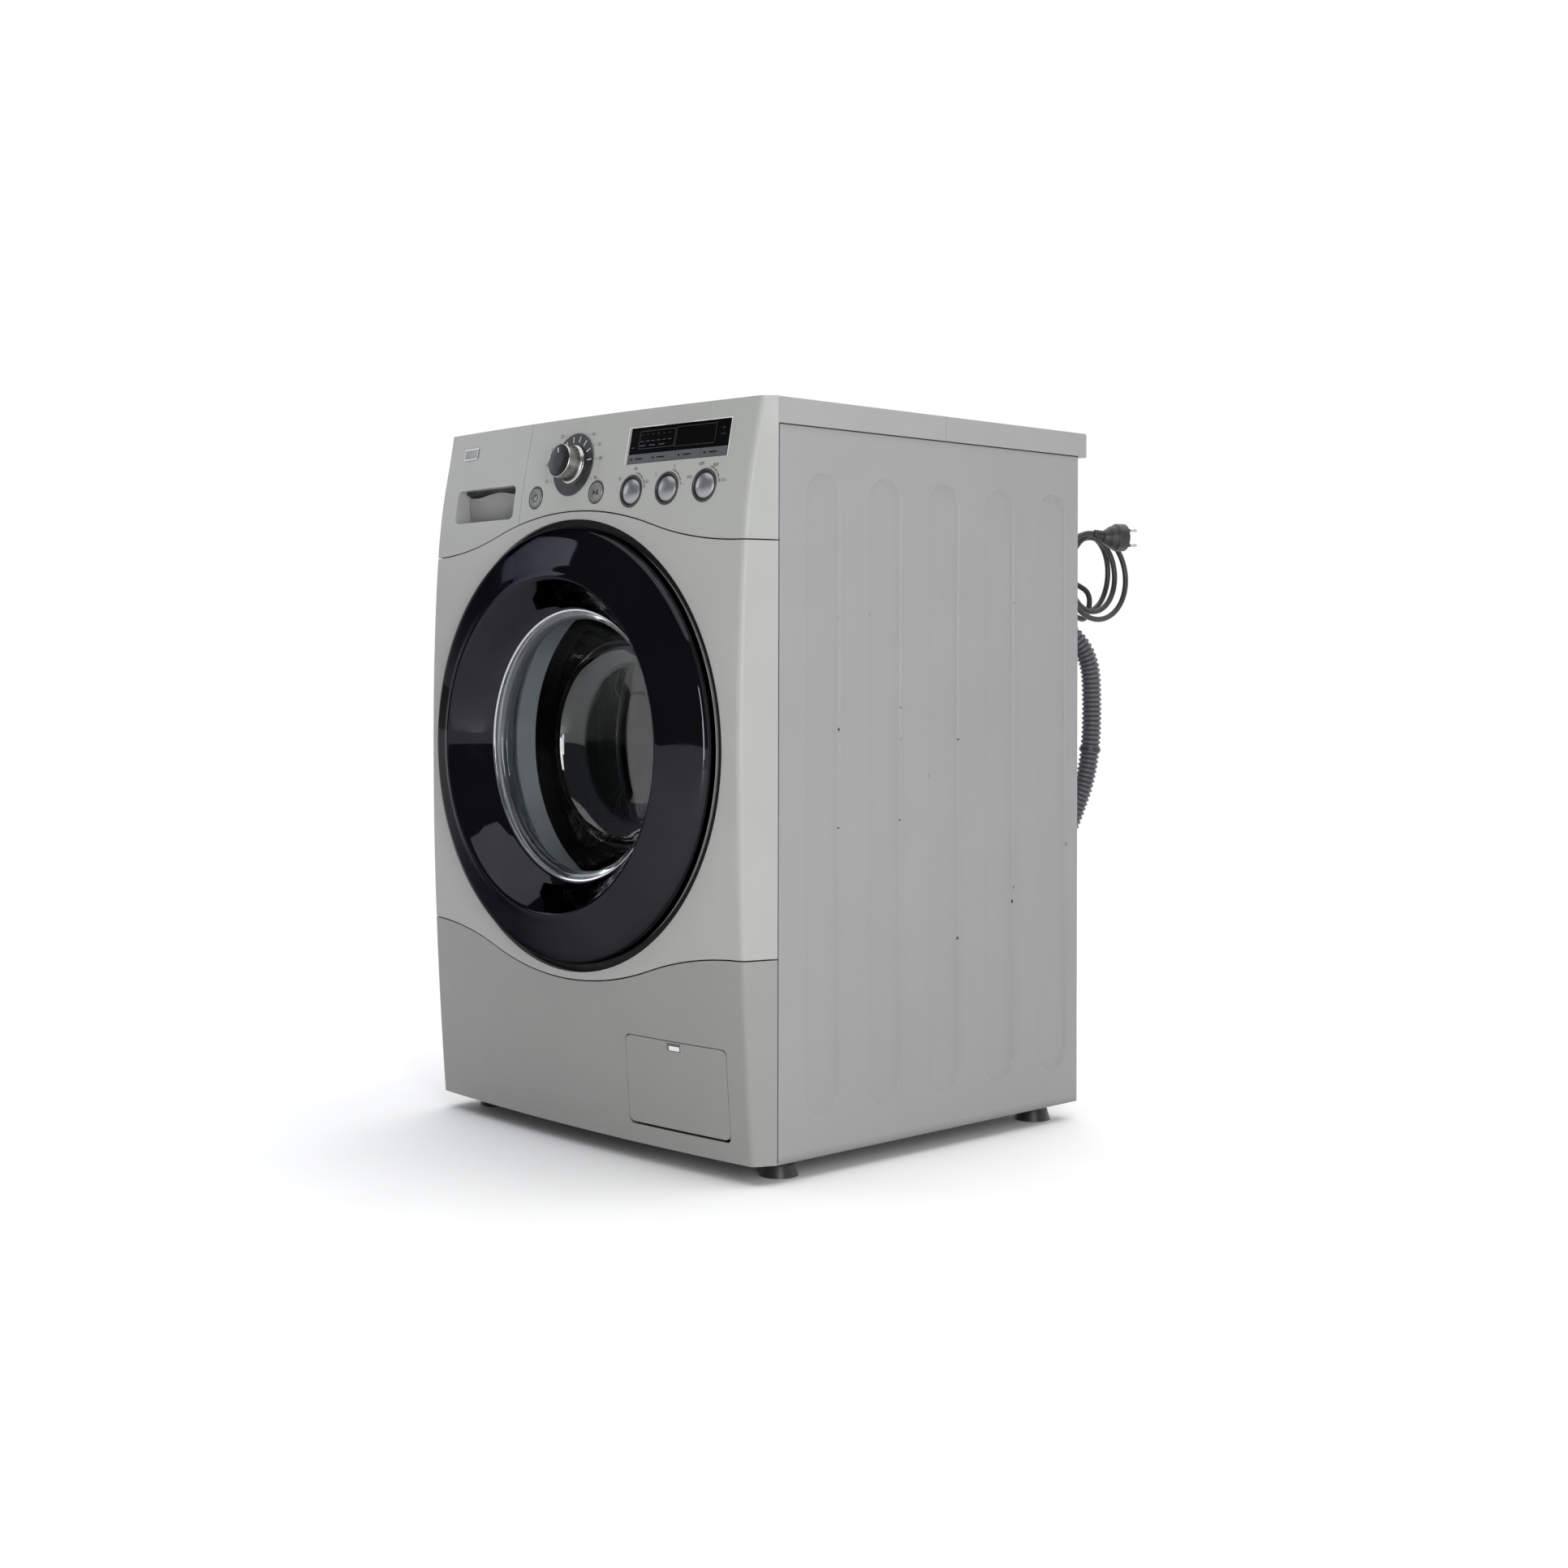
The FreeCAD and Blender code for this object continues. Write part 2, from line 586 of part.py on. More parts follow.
def hatch_pivot(x):
    """The hatch's hinge pin lies just behind the front's face, along its lower edge."""
    height = S.hatch_bottom + 2.5
    return Vector(x, -front_proud(x, height) + 2.5, height)


KEY_EDGES = [87.9, 124.5, 166.5, 207, 249.1]


def make_console():
    console = feature("console_shell", console_shape)
    window_hole = box("display_hole", ("display_left", -80, "display_bottom"),
                      ("display_right - display_left", 90, "display_top - display_bottom"))
    holes = [window_hole]
    holes.append(seated_hole("dial_hole", 4.4, S.dial_x, S.dial_z))
    for name, x in (("power", S.power_x), ("start", S.start_x)):
        holes.append(seated_hole(f"{name}_hole", "round_radius", x, S.round_z))
    for i in range(3):
        holes.append(seated_hole(f"dome_hole_{i}", "dome_radius", S.dome_x + i * S.dome_pitch,
                                 S.dome_z))
    grip = grip_cup()
    publish(cut("console_panel", console, *holes), "console_panel")

    recess = 3.2
    window = Part.makeBox(S.display_right - S.display_left - 0.6, 90,
                          S.display_top - S.key_top - S.key_gap - 0.3,
                          Vector(S.display_left + 0.3, -80, S.key_top + S.key_gap))
    frame = Part.makeBox(S.display_right - S.display_left + 16, 90,
                         S.display_top - S.display_bottom + 12,
                         Vector(S.display_left - 8, -80, S.display_bottom - 6))
    keyway = Part.makeBox(S.display_right - S.display_left + 1, 90,
                          S.key_top - S.display_bottom + S.key_gap + 0.4,
                          Vector(S.display_left - 0.5, -80, S.display_bottom - 0.4))
    glass = window.common(front_layer(recess - 1.2, recess + 2.5))
    rim = frame.common(front_layer(S.plastic + 0.2, recess + 2.5)).cut(keyway)
    publish_feature("display_window", glass.fuse(rim).removeSplitter())

    for i, (left, right) in enumerate(zip(KEY_EDGES, KEY_EDGES[1:]), start=1):
        cap = Part.makeBox(right - left - S.key_gap, 90, S.key_top - S.display_bottom - S.key_gap,
                           Vector(left + S.key_gap / 2, -80, S.display_bottom + S.key_gap / 2))
        publish_feature(f"option_button_{i}", cap.common(front_layer(1.4, 9)))

    for label, x in (("power_button", S.power_x), ("start_button", S.start_x)):
        reach = "round_radius - part_gap"
        button = seated(label, [
            (0, -1.2), (f"{reach} - 2.5", -1), (reach, 0.4), (reach, "plastic + 1.2"),
            ("round_radius + 1.5", "plastic + 2.6"), ("round_radius + 1.5", 7.6), (0, 7.6),
        ], x, S.round_z)
        publish(button, label)
    for i, side in enumerate(("left", "middle", "right")):
        reach = "dome_radius - 2.4"
        label = f"selector_button_{side}"
        button = seated(label, [
            (0, -4.6), (f"{reach} * 0.45", -4), (f"{reach} * 0.8", -2.2), (reach, 0.6),
            ("dome_radius - part_gap", 1), ("dome_radius - part_gap", "plastic + 1.8"),
            ("dome_radius + 1", "plastic + 3.2"), ("dome_radius + 1", 7.6), (0, 7.6),
        ], S.dome_x + i * S.dome_pitch, S.dome_z)
        publish(button, label)

    knob = seated("program_knob", [
        (0, "-knob_proud"), ("knob_radius - 5", "-knob_proud"),
        ("knob_radius - 2", "-knob_proud + 2.2"), ("knob_radius", -3), ("knob_radius + 2.4", -0.8),
        (14, -0.8), (14, -6), (4, -6), (4, 15), (0, 15),
    ], S.dial_x, S.dial_z)
    publish(knob, "program_knob")

    board = box("board_plate", (-60, -7, 742), (322, 1.6, 96))
    relay = box("board_relay", (90, -5.4, 756), (28, 16, 24))
    choke = rod("board_choke", (170, -5.4, 790), 14, 16, "y")
    plug_row = box("board_plugs", (-40, -5.4, 748), (70, 12, 14))
    publish(fuse("control_board", board, relay, choke, plug_row), "control_board")
    publish_feature("drawer_front", largest(drawer_shape.cut(grip[1]).fuse(grip[0])))


def grip_cup():
    """The finger recess of the drawer's front, as its cup and the space inside it."""
    wide = S.grip_right - S.grip_left
    high = S.grip_top - S.grip_bottom
    wall = 2
    depth = S.grip_depth
    start = Vector(S.grip_left, -60, S.grip_bottom)
    floor_y = -front_proud((S.grip_left + S.grip_right) / 2, S.grip_top) + depth
    inside = Part.makeBox(wide, floor_y + 60, high, start)
    along = [e for e in inside.Edges if e.BoundBox.YLength > 20]
    inside = inside.makeFillet(7, along)
    cup = Part.makeBox(wide + 2 * wall, floor_y + wall + 60, high + 2 * wall,
                       start - Vector(wall, 0, wall))
    cup = cup.makeFillet(9, [e for e in cup.Edges if e.BoundBox.YLength > 20])
    return cup.cut(inside).common(FRONT_OUT), inside


# ---------------------------------------------------------------- door

def make_door():
    """Outer ring, inner frame, glass bowl, hinge and latch."""
    front = "-door_proud"
    ring = revolved("ring_turned", [
        ("ring_radius", -47), ("ring_radius", -58), ("ring_radius - 3", -64),
        ("ring_radius - 12", -68.5), ("ring_front_radius + 6", f"{front} + 0.8"),
        ("ring_front_radius + 2", front), ("ring_front_radius", f"{front} + 1.2"),
        ("sight_radius + 4", -45), ("sight_radius", -43), ("sight_radius", -42.4),
        ("sight_radius + 4.5", -42.4), ("ring_front_radius + 2", f"{front} + 4.5"),
        ("ring_front_radius + 6", f"{front} + 4.2"), ("ring_radius - 13.5", -65.2),
        ("ring_radius - 5.5", -61), ("ring_radius - 3", -57), ("ring_radius - 3", -47),
    ])
    notch = box("ring_notch", ("-ring_radius - 1", "-hinge_y - 5.5", "door_height - 2.2 * knuckle_half"),
                (12, 12, "4.4 * knuckle_half"))
    publish(cut("door_outer_ring", ring, notch), "door_outer_ring")

    back = "-trough_floor - 3.6"
    frame = revolved("frame_turned", [
        ("glass_radius + 0.4", -42), ("glass_radius + 0.4", -36.6), ("bowl_radius + 4", -36.6),
        ("bowl_radius + 4", -34.6), ("glass_radius + 3.4", -34.6), ("glass_radius + 3.4", back),
        ("ring_radius - 3.4", back), ("ring_radius - 3.4", f"{back} - 2.8"),
        ("glass_radius + 3.4", f"{back} - 2.8"), ("glass_radius + 0.4", f"{back} - 2.8"),
    ])
    window = box("latch_window", ("latch_x - 8", "-trough_floor - 8", "door_height - 6"), (16, 8, 12))
    ears = box("latch_ears", ("latch_x - 9", "-trough_floor - 12", "door_height - 11"), (18, 6, 22))
    ear_gap = box("latch_gap", ("latch_x - 10", "-trough_floor - 13", "door_height - 6"), (20, 8, 12))
    ear_bore = rod("latch_bore", ("latch_x", "-trough_floor - 9.5", "door_height - 15"), 1.55, 30)
    framed = fuse("frame_ears", frame, ears)
    publish(cut("door_inner_frame", framed, window, ear_gap, ear_bore), "door_inner_frame")

    bowl = "bowl_radius"
    deep = "bowl_depth"
    thick = "glass_thick"
    glass = revolved("door_glass", [
        (0, deep), (f"{bowl} - 53", deep), (f"{bowl} - 29", f"{deep} - 4"),
        (f"{bowl} - 18", f"{deep} - 16"), (bowl, -37), ("glass_radius", -37),
        ("glass_radius", f"-37 - {thick} - 0.6"), (f"{bowl} - {thick} + 0.6", f"-37 - {thick} - 0.6"),
        (f"{bowl} - 18 - {thick}", f"{deep} - 17.5"), (f"{bowl} - 31", f"{deep} - 4 - {thick}"),
        (f"{bowl} - 54", f"{deep} - {thick}"), (0, f"{deep} - {thick}"),
    ])
    publish(glass, "door_glass")

    x, y = "-hinge_x", "-hinge_y"
    foot = box("bracket_foot", (f"{x} - 1.5", "-trough_floor - 2.6", "door_height - knuckle_half"),
               (34, 2.6, "2 * knuckle_half"))
    leaf = box("bracket_leaf", (f"{x} - 1.5", f"{y} + 1", "door_height - knuckle_half"),
               (3, "hinge_y - trough_floor - 1", "2 * knuckle_half"))
    barrel = rod("bracket_barrel", (x, y, "door_height - knuckle_half"), "knuckle_radius",
                 "2 * knuckle_half")
    bore = rod("bracket_bore", (x, y, "door_height - knuckle_half - 1"), "hinge_pin + pin_clearance",
               "2 * knuckle_half + 2")
    publish(cut("hinge_bracket", fuse("bracket_solid", foot, leaf, barrel), bore), "hinge_bracket")

    arms = [rod("hinge_pin_rod", (x, y, "door_height - 2 * knuckle_half"), "hinge_pin",
                "4 * knuckle_half")]
    for name, low in (("low", "door_height - 2 * knuckle_half"),
                      ("high", "door_height + knuckle_half + part_gap")):
        tall = "knuckle_half - part_gap"
        arms.append(rod(f"arm_barrel_{name}", (x, y, low), "knuckle_radius", tall))
        arms.append(box(f"arm_leaf_{name}", (x, f"{y} - 2.6", low), (30, 2.4, tall)))
    publish(fuse("door_hinge_arm", *arms), "door_hinge_arm")

    pivot_y = "-trough_floor - 9.5"
    pin = rod("hook_pin", ("latch_x", pivot_y, "door_height - 10.5"), 1.5, 21)
    shank = box("hook_shank", ("latch_x - 3", f"{pivot_y} - 2", "door_height - 4"), (6, 30, 8))
    barb = box("hook_barb", ("latch_x", "-21.5 - 6", "door_height - 4"), (7, 6, 8))
    publish(fuse("door_latch_hook", pin, shank, barb), "door_latch_hook")


def make_gasket():
    """The door boot: one wall of rubber that follows a folded path from lip to tub neck."""
    half = 1.3
    lip = S.opening_radius - 1 - half
    neck = S.neck_radius + S.tub_wall + 0.2 + half
    path = [(155.5, -19), (lip, -22), (lip, -11), (191, -9), (191, -4), (neck, -1), (neck, 14)]
    points = [Vector(r, y, 0) for r, y in path]
    shape = turned_strip(points, half)
    publish_feature("door_gasket", shape)


def turned_strip(points, half):
    """A strip of even thickness along a path of (radius, y), turned about the drum's axis."""
    sides = []
    for sign in (1, -1):
        side = []
        for i, point in enumerate(points):
            before = (point - points[i - 1]).normalize() if i else None
            after = (points[i + 1] - point).normalize() if i + 1 < len(points) else None
            along = [v for v in (before, after) if v is not None]
            normals = [Vector(-v.y, v.x, 0) for v in along]
            total = normals[0] if len(normals) == 1 else (normals[0] + normals[1]).normalize()
            reach = half / total.dot(normals[0])
            side.append(point + total * (sign * reach))
        sides.append(side)
    ring = sides[0] + sides[1][::-1]
    corners = [Vector(p.x, p.y, S.door_height) for p in ring]
    face = Part.Face(Part.makePolygon(corners + corners[:1]))
    return face.revolve(Vector(0, 0, S.door_height), Vector(0, 1, 0), 360)


# ---------------------------------------------------------------- tub and drum

def make_tub():
    wall = "tub_wall"
    shell = revolved("tub_front_turned", [
        ("neck_radius", "tub_front_y - 24"), (f"neck_radius + {wall}", "tub_front_y - 24"),
        (f"neck_radius + {wall}", "tub_front_y"), ("tub_radius - 4", "tub_front_y"),
        (f"tub_radius + {wall}", "tub_front_y + 8"), (f"tub_radius + {wall}", "tub_joint_y - 8"),
        ("tub_radius + 11", "tub_joint_y - 8"), ("tub_radius + 11", "tub_joint_y"),
        ("tub_radius", "tub_joint_y"), ("tub_radius", "tub_front_y + 9.5"),
        ("tub_radius - 5.5", f"tub_front_y + {wall}"), ("neck_radius", f"tub_front_y + {wall}"),
    ])
    lugs = []
    for i, side in enumerate((-1, 1)):
        lugs.append(box(f"spring_lug_{i}", (f"{side} * 244 - 36", "spring_y - 9", "spring_bottom - 14"),
                        (72, 18, 12)))
    hollow = rod("lug_trim", (0, "tub_front_y + 10", "door_height"), "tub_radius + 1",
                 "tub_back_y - tub_front_y - 20", "y")
    lug_solids = cut("spring_lugs", fuse("spring_lug_pair", *lugs), hollow)
    ports = [rod(f"heater_port_{i}", (x, "tub_front_y - 30", HEATER_Z), 3.6, 50, "y")
             for i, x in enumerate((-35, 35))]
    publish(cut("tub_front", fuse("tub_front_solid", shell, lug_solids), *ports), "tub_front")

    back = revolved("tub_rear_turned", [
        ("tub_radius", "tub_joint_y + 0.3"), ("tub_radius + 11", "tub_joint_y + 0.3"),
        ("tub_radius + 11", "tub_joint_y + 8.3"), (f"tub_radius + {wall}", "tub_joint_y + 8.3"),
        (f"tub_radius + {wall}", "tub_back_y - 6"), ("tub_radius - 4", "tub_back_y"),
        (58, "tub_back_y"), (50, "rear_bearing_y + 17"), (26.2, "rear_bearing_y + 17"),
        (26.2, "rear_bearing_y"), (20, "rear_bearing_y"), (20, "front_bearing_y + 16.2"),
        (31.2, "front_bearing_y + 16.2"), (31.2, "front_bearing_y - 3"),
        (40, "front_bearing_y - 3"), (44, f"tub_back_y - {wall} - 1"),
        ("tub_radius - 6", f"tub_back_y - {wall} - 1"), ("tub_radius", "tub_back_y - 8"),
    ])
    publish(back, "tub_rear")

    ring = tube("weight_ring", (0, "tub_front_y - weight_thick - 0.6", "door_height"), "weight_radius",
                "neck_radius + tub_wall + 10", "weight_thick", "y")
    split = box("weight_split", ("-weight_radius - 1", "-30", "door_height - 14"),
                ("2 * weight_radius + 2", 90, 28))
    gap = box("weight_gap", (-60, -30, "door_height - weight_radius - 10"), (120, 90, 60))
    publish(cut("counterweights", ring, split, gap), "counterweights")

    bearings = []
    for name, start, outer, bore, wide in (
        ("front", "front_bearing_y", 31, "shaft_radius + bearing_clearance", 16),
        ("rear", "rear_bearing_y + 0.5", 26, "shaft_tail + bearing_clearance", 15),
    ):
        bearings.append(tube(f"bearing_{name}", (0, start, "door_height"), outer, bore, wide, "y"))
    bearings.append(tube("shaft_seal", (0, "front_bearing_y - 2.6", "door_height"), 31,
                         "shaft_radius + 0.2", 2.4, "y"))
    publish(group("bearing_set", *bearings), "bearing_set")

    core = tube("stator_core", (0, "rear_bearing_y + 2", "door_height"), 96, 62, 22, "y")
    feet = tube("stator_feet", (0, "tub_back_y + 0.2", "door_height"), 76, 64, 14, "y")
    teeth = []
    for i in range(int(S.tooth_count)):
        tooth = box(f"tooth_{i}", (0, 0, 0), (16, 22, 46))
        turn = Rotation(Vector(0, 1, 0), 360 * i / S.tooth_count)
        corner = turn.multVec(Vector(-8, 0, 92))
        tooth.Placement = Placement(Vector(corner.x, S.rear_bearing_y + 2, S.door_height + corner.z),
                                    turn)
        teeth.append(tooth)
        for axis in "xyz":
            tooth.setExpression(f".Placement.Base.{axis}", None)
    publish(fuse("stator", core, feet, *teeth), "stator")

    bend = doc.addObject("Part::Torus", "heater_bend")
    bind(bend, Radius1=35, Radius2=3.2)
    bend.Angle3 = 180
    bend.Placement = Placement(Vector(0, 345, S.door_height - 251.5), Rotation())
    legs = [rod(f"heater_leg_{i}", (x, "tub_front_y - 6", HEATER_Z), 3.2, "345 - tub_front_y + 6", "y")
            for i, x in enumerate((-35, 35))]
    flange = box("heater_flange", (-48, "tub_front_y - 8", "door_height - 260"), (96, 7.4, 18))
    publish(fuse("heater", bend, flange, *legs), "heater")


HEATER_Z = "door_height - 251.5"


def make_suspension():
    turns = 16
    springs = []
    for x in (-S.spring_x, S.spring_x):
        tall = S.spring_top - S.spring_bottom
        helix = Part.makeHelix(tall / turns, tall, S.spring_radius)
        start = Vector(S.spring_radius, 0, 0)
        profile = Part.Wire(Part.makeCircle(S.spring_wire, start, Vector(0, 1, 0)))
        coil = Part.Wire(helix).makePipeShell([profile], True, True)
        coil.translate(Vector(x, S.spring_y, S.spring_bottom))
        springs.append(coil)
    publish_feature("suspension_springs", Part.makeCompound(springs))

    cylinders, rods = [], []
    for i, (side, y) in enumerate([(s, y) for s in (-1, 1) for y in (200, 350)]):
        x = f"{side} * damper_x"
        case = rod(f"damper_case_{i}", (x, y, "foot_height + 2.2"), "damper_radius", 110)
        bore = rod(f"damper_bore_{i}", (x, y, "foot_height + 14"), "damper_radius - 3", 120)
        cylinders.append(cut(f"damper_cylinder_{i}", case, bore))
        piston = rod(f"damper_piston_{i}", (x, y, 80), "damper_radius - 3.6", 30)
        stem = rod(f"damper_stem_{i}", (x, y, 100), 5, 160)
        trim = rod(f"damper_trim_{i}", (0, 100, "door_height"), "tub_radius + tub_wall + 0.3", 320, "y")
        rods.append(cut(f"damper_rod_{i}", fuse(f"damper_rod_solid_{i}", piston, stem), trim))
    publish(group("damper_cylinders", *cylinders), "damper_cylinders")
    publish(group("damper_rods", *rods), "damper_rods")


def make_drum():
    sheet_wall = "drum_steel"
    shell = revolved("drum", [
        ("drum_mouth", "drum_front_y + 6"), ("drum_mouth", "drum_front_y"),
        ("drum_radius - 8", "drum_front_y"), ("drum_radius", "drum_front_y + 8"),
        ("drum_radius", "drum_back_y - 6"), ("drum_radius - 6", "drum_back_y"), (30, "drum_back_y"),
        (30, f"drum_back_y - {sheet_wall}"), (f"drum_radius - 6.5", f"drum_back_y - {sheet_wall}"),
        (f"drum_radius - {sheet_wall}", "drum_back_y - 6.5"),
        (f"drum_radius - {sheet_wall}", "drum_front_y + 8.5"),
        ("drum_radius - 8.5", f"drum_front_y + {sheet_wall}"),
        (f"drum_mouth + {sheet_wall}", f"drum_front_y + {sheet_wall}"),
        (f"drum_mouth + {sheet_wall}", "drum_front_y + 6"),
    ])
    publish(shell, "drum")

    lifters = []
    top = "drum_radius - drum_steel - 2.3"
    for i in range(int(S.lifter_count)):
        angle = 360 * i / S.lifter_count
        lifter = prism(f"lifter_{i}", [
            (-26, f"-({top})"), (-11, f"-({top} - lifter_height)"), (11, f"-({top} - lifter_height)"),
            (26, f"-({top})"), (15, f"-({top} + 0.8)"), (-15, f"-({top} + 0.8)"),
        ], (0, "drum_front_y + 18", "door_height"), "drum_back_y - drum_front_y - 42")
        turn = Rotation(Vector(0, 1, 0), angle)
        lifter.Placement = Placement(Vector(), turn.multiply(TURN["y"]))
        lifters.append(lifter)
    publish(group("drum_lifters", *lifters), "drum_lifters")

    hub = rod("spider_hub", (0, "drum_back_y + 0.3", "door_height"), 34, 22, "y")
    arms = []
    for i in range(3):
        turn = Rotation(Vector(0, 1, 0), 60 + 120 * i)
        arm = box(f"spider_arm_{i}", (0, 0, 0), (36, 14, "drum_radius - 10"))
        corner = turn.multVec(Vector(-18, 0, 0))
        for axis in "xyz":
            arm.setExpression(f".Placement.Base.{axis}", None)
        arm.Placement = Placement(corner + Vector(0, S.drum_back_y + 0.3, S.door_height), turn)
        arms.append(arm)
    bore = rod("spider_bore", (0, "drum_back_y", "door_height"), "shaft_radius + 0.02", 40, "y")
    publish(cut("drum_spider", fuse("spider_solid", hub, *arms), bore), "drum_spider")

    thick = rod("shaft_thick", (0, "drum_back_y + 2", "door_height"), "shaft_radius",
                "rear_bearing_y - drum_back_y - 2.5", "y")
    tail = rod("shaft_tail", (0, "rear_bearing_y - 1", "door_height"), "shaft_tail",
               "shaft_end_y - rear_bearing_y + 1", "y")
    publish(fuse("drum_shaft", thick, tail), "drum_shaft")

    rotor = revolved("rotor", [
        ("shaft_tail + 0.05", "rotor_back_y - 14"), (30, "rotor_back_y - 14"),
        (36, "rotor_back_y - 3"), ("rotor_radius - 6", "rotor_back_y - 3"),
        ("rotor_radius - 6", "rear_bearing_y"), ("rotor_radius", "rear_bearing_y"),
        ("rotor_radius", "rotor_back_y"), ("shaft_tail + 0.05", "rotor_back_y"),
    ])
    publish(rotor, "rotor")


# ---------------------------------------------------------------- water

def make_dispenser():
    wide = "tray_right - tray_left"
    high = "tray_top - tray_bottom"
    case = box("housing_outside", ("tray_left", -6, "tray_bottom"), (wide, "tray_depth", high))
    hollow = box("housing_hollow", ("tray_left + 2.5", -8, "tray_bottom + 2.5"),
                 (f"{wide} - 5", "tray_depth - 2", f"{high} - 5"))
    outlet = rod("housing_outlet", (-150, 205, "tray_bottom - 2"), 15, 6)
    publish(cut("dispenser_housing", case, hollow, outlet), "dispenser_housing")

    tray = box("tray_outside", ("tray_left + 4", -10, "tray_bottom + 4"),
               (f"{wide} - 8", "tray_depth - 18", f"{high} - 16"))
    cells = []
    third = f"({wide} - 8 - 10) / 3"
    for i in range(3):
        start = f"tray_left + 4 + 2.5 + {i} * ({third} + 2.5)"
        cells.append(box(f"tray_cell_{i}", (start, -7.5, "tray_bottom + 6.5"),
                         (third, "tray_depth - 23", high)))
    publish(cut("dispenser_drawer", tray, *cells), "dispenser_drawer")

    block = box("valve_block", ("inlet_x - 32", f"{REAR_IN} - 46", "inlet_z - 20"), (64, 38, 40))
    neck = rod("valve_neck", ("inlet_x", f"{REAR_IN} - 8.5", "inlet_z"), "inlet_radius - 1.2",
               "8.5 + steel + 1", "y")
    spigot = rod("valve_spigot", ("inlet_x", f"{REAR_IN} + steel + 0.5", "inlet_z"), "inlet_radius",
                 "spigot_length", "y")
    bore = rod("valve_bore", ("inlet_x", f"{REAR_IN} - 20", "inlet_z"), 8, 50, "y")
    coils = [rod(f"valve_coil_{i}", (f"inlet_x - 16 + {32 * i}", f"{REAR_IN} - 27", "inlet_z + 19"),
                 11, 24) for i in (0, 1)]
    publish(cut("inlet_valve", fuse("valve_solid", block, neck, spigot, *coils), bore), "inlet_valve")


def pipe(points, radius, bend=0.45):
    """A round bar along straight runs joined by tangent arcs, with its bend radii."""
    points = [Vector(*p) for p in points]
    edges, radii = [], []
    at = points[0]
    for before, corner, after in zip(points, points[1:], points[2:]):
        back = (before - corner)
        ahead = (after - corner)
        run = bend * min(back.Length, ahead.Length)
        back.normalize()
        ahead.normalize()
        turn = math.pi - back.getAngle(ahead)
        radii.append(run / math.tan(turn / 2))
        start, end = corner + back * run, corner + ahead * run
        inward = (back + ahead).normalize()
        sink = radii[-1] / math.cos(turn / 2) - radii[-1]
        edges.append(Part.LineSegment(at, start).toShape())
        edges.append(Part.Arc(start, corner + inward * sink, end).toShape())
        at = end
    edges.append(Part.LineSegment(at, points[-1]).toShape())
    wire = Part.Wire(edges)
    circle = Part.Wire(Part.makeCircle(radius, points[0], points[1] - points[0]))
    return wire.makePipeShell([circle], True, False), wire.Length, radii


def make_pump():
    x, z = "filter_x", "filter_z"
    neck = rod("pump_neck", (x, 15, z), "filter_radius + 3", 48, "y")
    bowl = rod("pump_bowl", (x, 50, z), 36, 52, "y")
    motor = rod("pump_motor", (x, 102, z), 26, 62, "y")
    outlet = rod("pump_outlet", (f"{x} + 30", 84, f"{z} + 6"), 11, 48)
    bore = rod("pump_bore", (x, 10, z), "filter_radius + 0.05", 82, "y")
    publish(cut("drain_pump", fuse("pump_solid", neck, bowl, motor, outlet), bore), "drain_pump")

    plug = rod("filter_plug", (x, -8, z), "filter_radius", 92, "y")
    inside = rod("filter_inside", (x, 22, z), "filter_radius - 4", 64, "y")
    windows = [box(f"filter_window_{i}", (f"{x} - 30", 32, f"{z} - 16 + {i} * 24"),
                   (60, 38, 8)) for i in (0, 1)]
    grip = box("filter_grip", (f"{x} - 20", -16, f"{z} - 4"), (40, 9, 8))
    publish(cut("pump_filter", fuse("filter_solid", plug, grip), inside, *windows), "pump_filter")

    x_out, z_out = -150, S.tray_bottom
    feed, _, _ = pipe([(x_out, 205, z_out - 1), (x_out, 205, z_out - 20), (x_out, 206, 700)], 14)
    tub_low = S.door_height - S.tub_radius - S.tub_wall
    drain, _, _ = pipe([(80, 120, tub_low + 11), (80, 120, 185), (98, 112, 160), (128, 100, 138),
                        (148, 92, 124)], 15)
    inlet, _, _ = pipe([(S.filter_x + 30, 84, S.filter_z + 54.3), (212, 84, 168), (226, 116, 180),
                        (244, 170, 182), (258, 240, 170), (262, 320, 150), (260, 400, 128),
                        (252, 455, 108), (HOSE_X, 496, HOSE_EXIT_Z)], 9)
    shapes = []
    tub_skin = Part.makeCylinder(S.tub_radius + S.tub_wall + 0.3, 400, Vector(0, 20, S.door_height),
                                 Vector(0, 1, 0))
    pump_skin = Part.makeCylinder(36.3, 60, Vector(S.filter_x, 46, S.filter_z), Vector(0, 1, 0))
    for tube_shape in (feed, drain, inlet):
        shapes.append(largest(tube_shape.cut([tub_skin, pump_skin])))
    publish_feature("tub_hoses", Part.makeCompound(shapes))


# ---------------------------------------------------------------- cords, in the part's frame

HOSE_ROUTE = [
    (250, 306, 112), (250, 306, 152), (246, 306, 196), (243, 309, 246), (243, 314, 296),
    (248, 324, 340), (257, 337, 378), (266, 348, 420), (270, 353, 468), (270, 354, 520),
    (270, 351, 562), (262, 339, 592), (244, 320, 614), (226, 308, 640), (213, 305, 676),
    (206, 304, 716), (194, 304, 752), (170, 304, 776), (138, 304, 780), (108, 305, 762),
    (88, 305, 726), (83, 306, 678), (84, 306, 626), (87, 307, 572), (86, 307, 516),
    (82, 306, 460), (79, 306, 404), (80, 306, 348), (84, 307, 292), (86, 307, 240),
    (84, 308, 196),
]
CORD_ROUTE = [
    (150, 316, 700), (150, 334, 700), (156, 351, 697), (171, 367, 690), (191, 381, 680),
    (211, 393, 669), (230, 403, 655), (243, 409, 635),
]
COIL_CENTRE = (244, 385, 678)
PLUG_TAIL = (252, 358, 729)
PLUG_FACE = (268, 379, 726)
PLUG_HEADING = (0.4, 0.9165, 0)


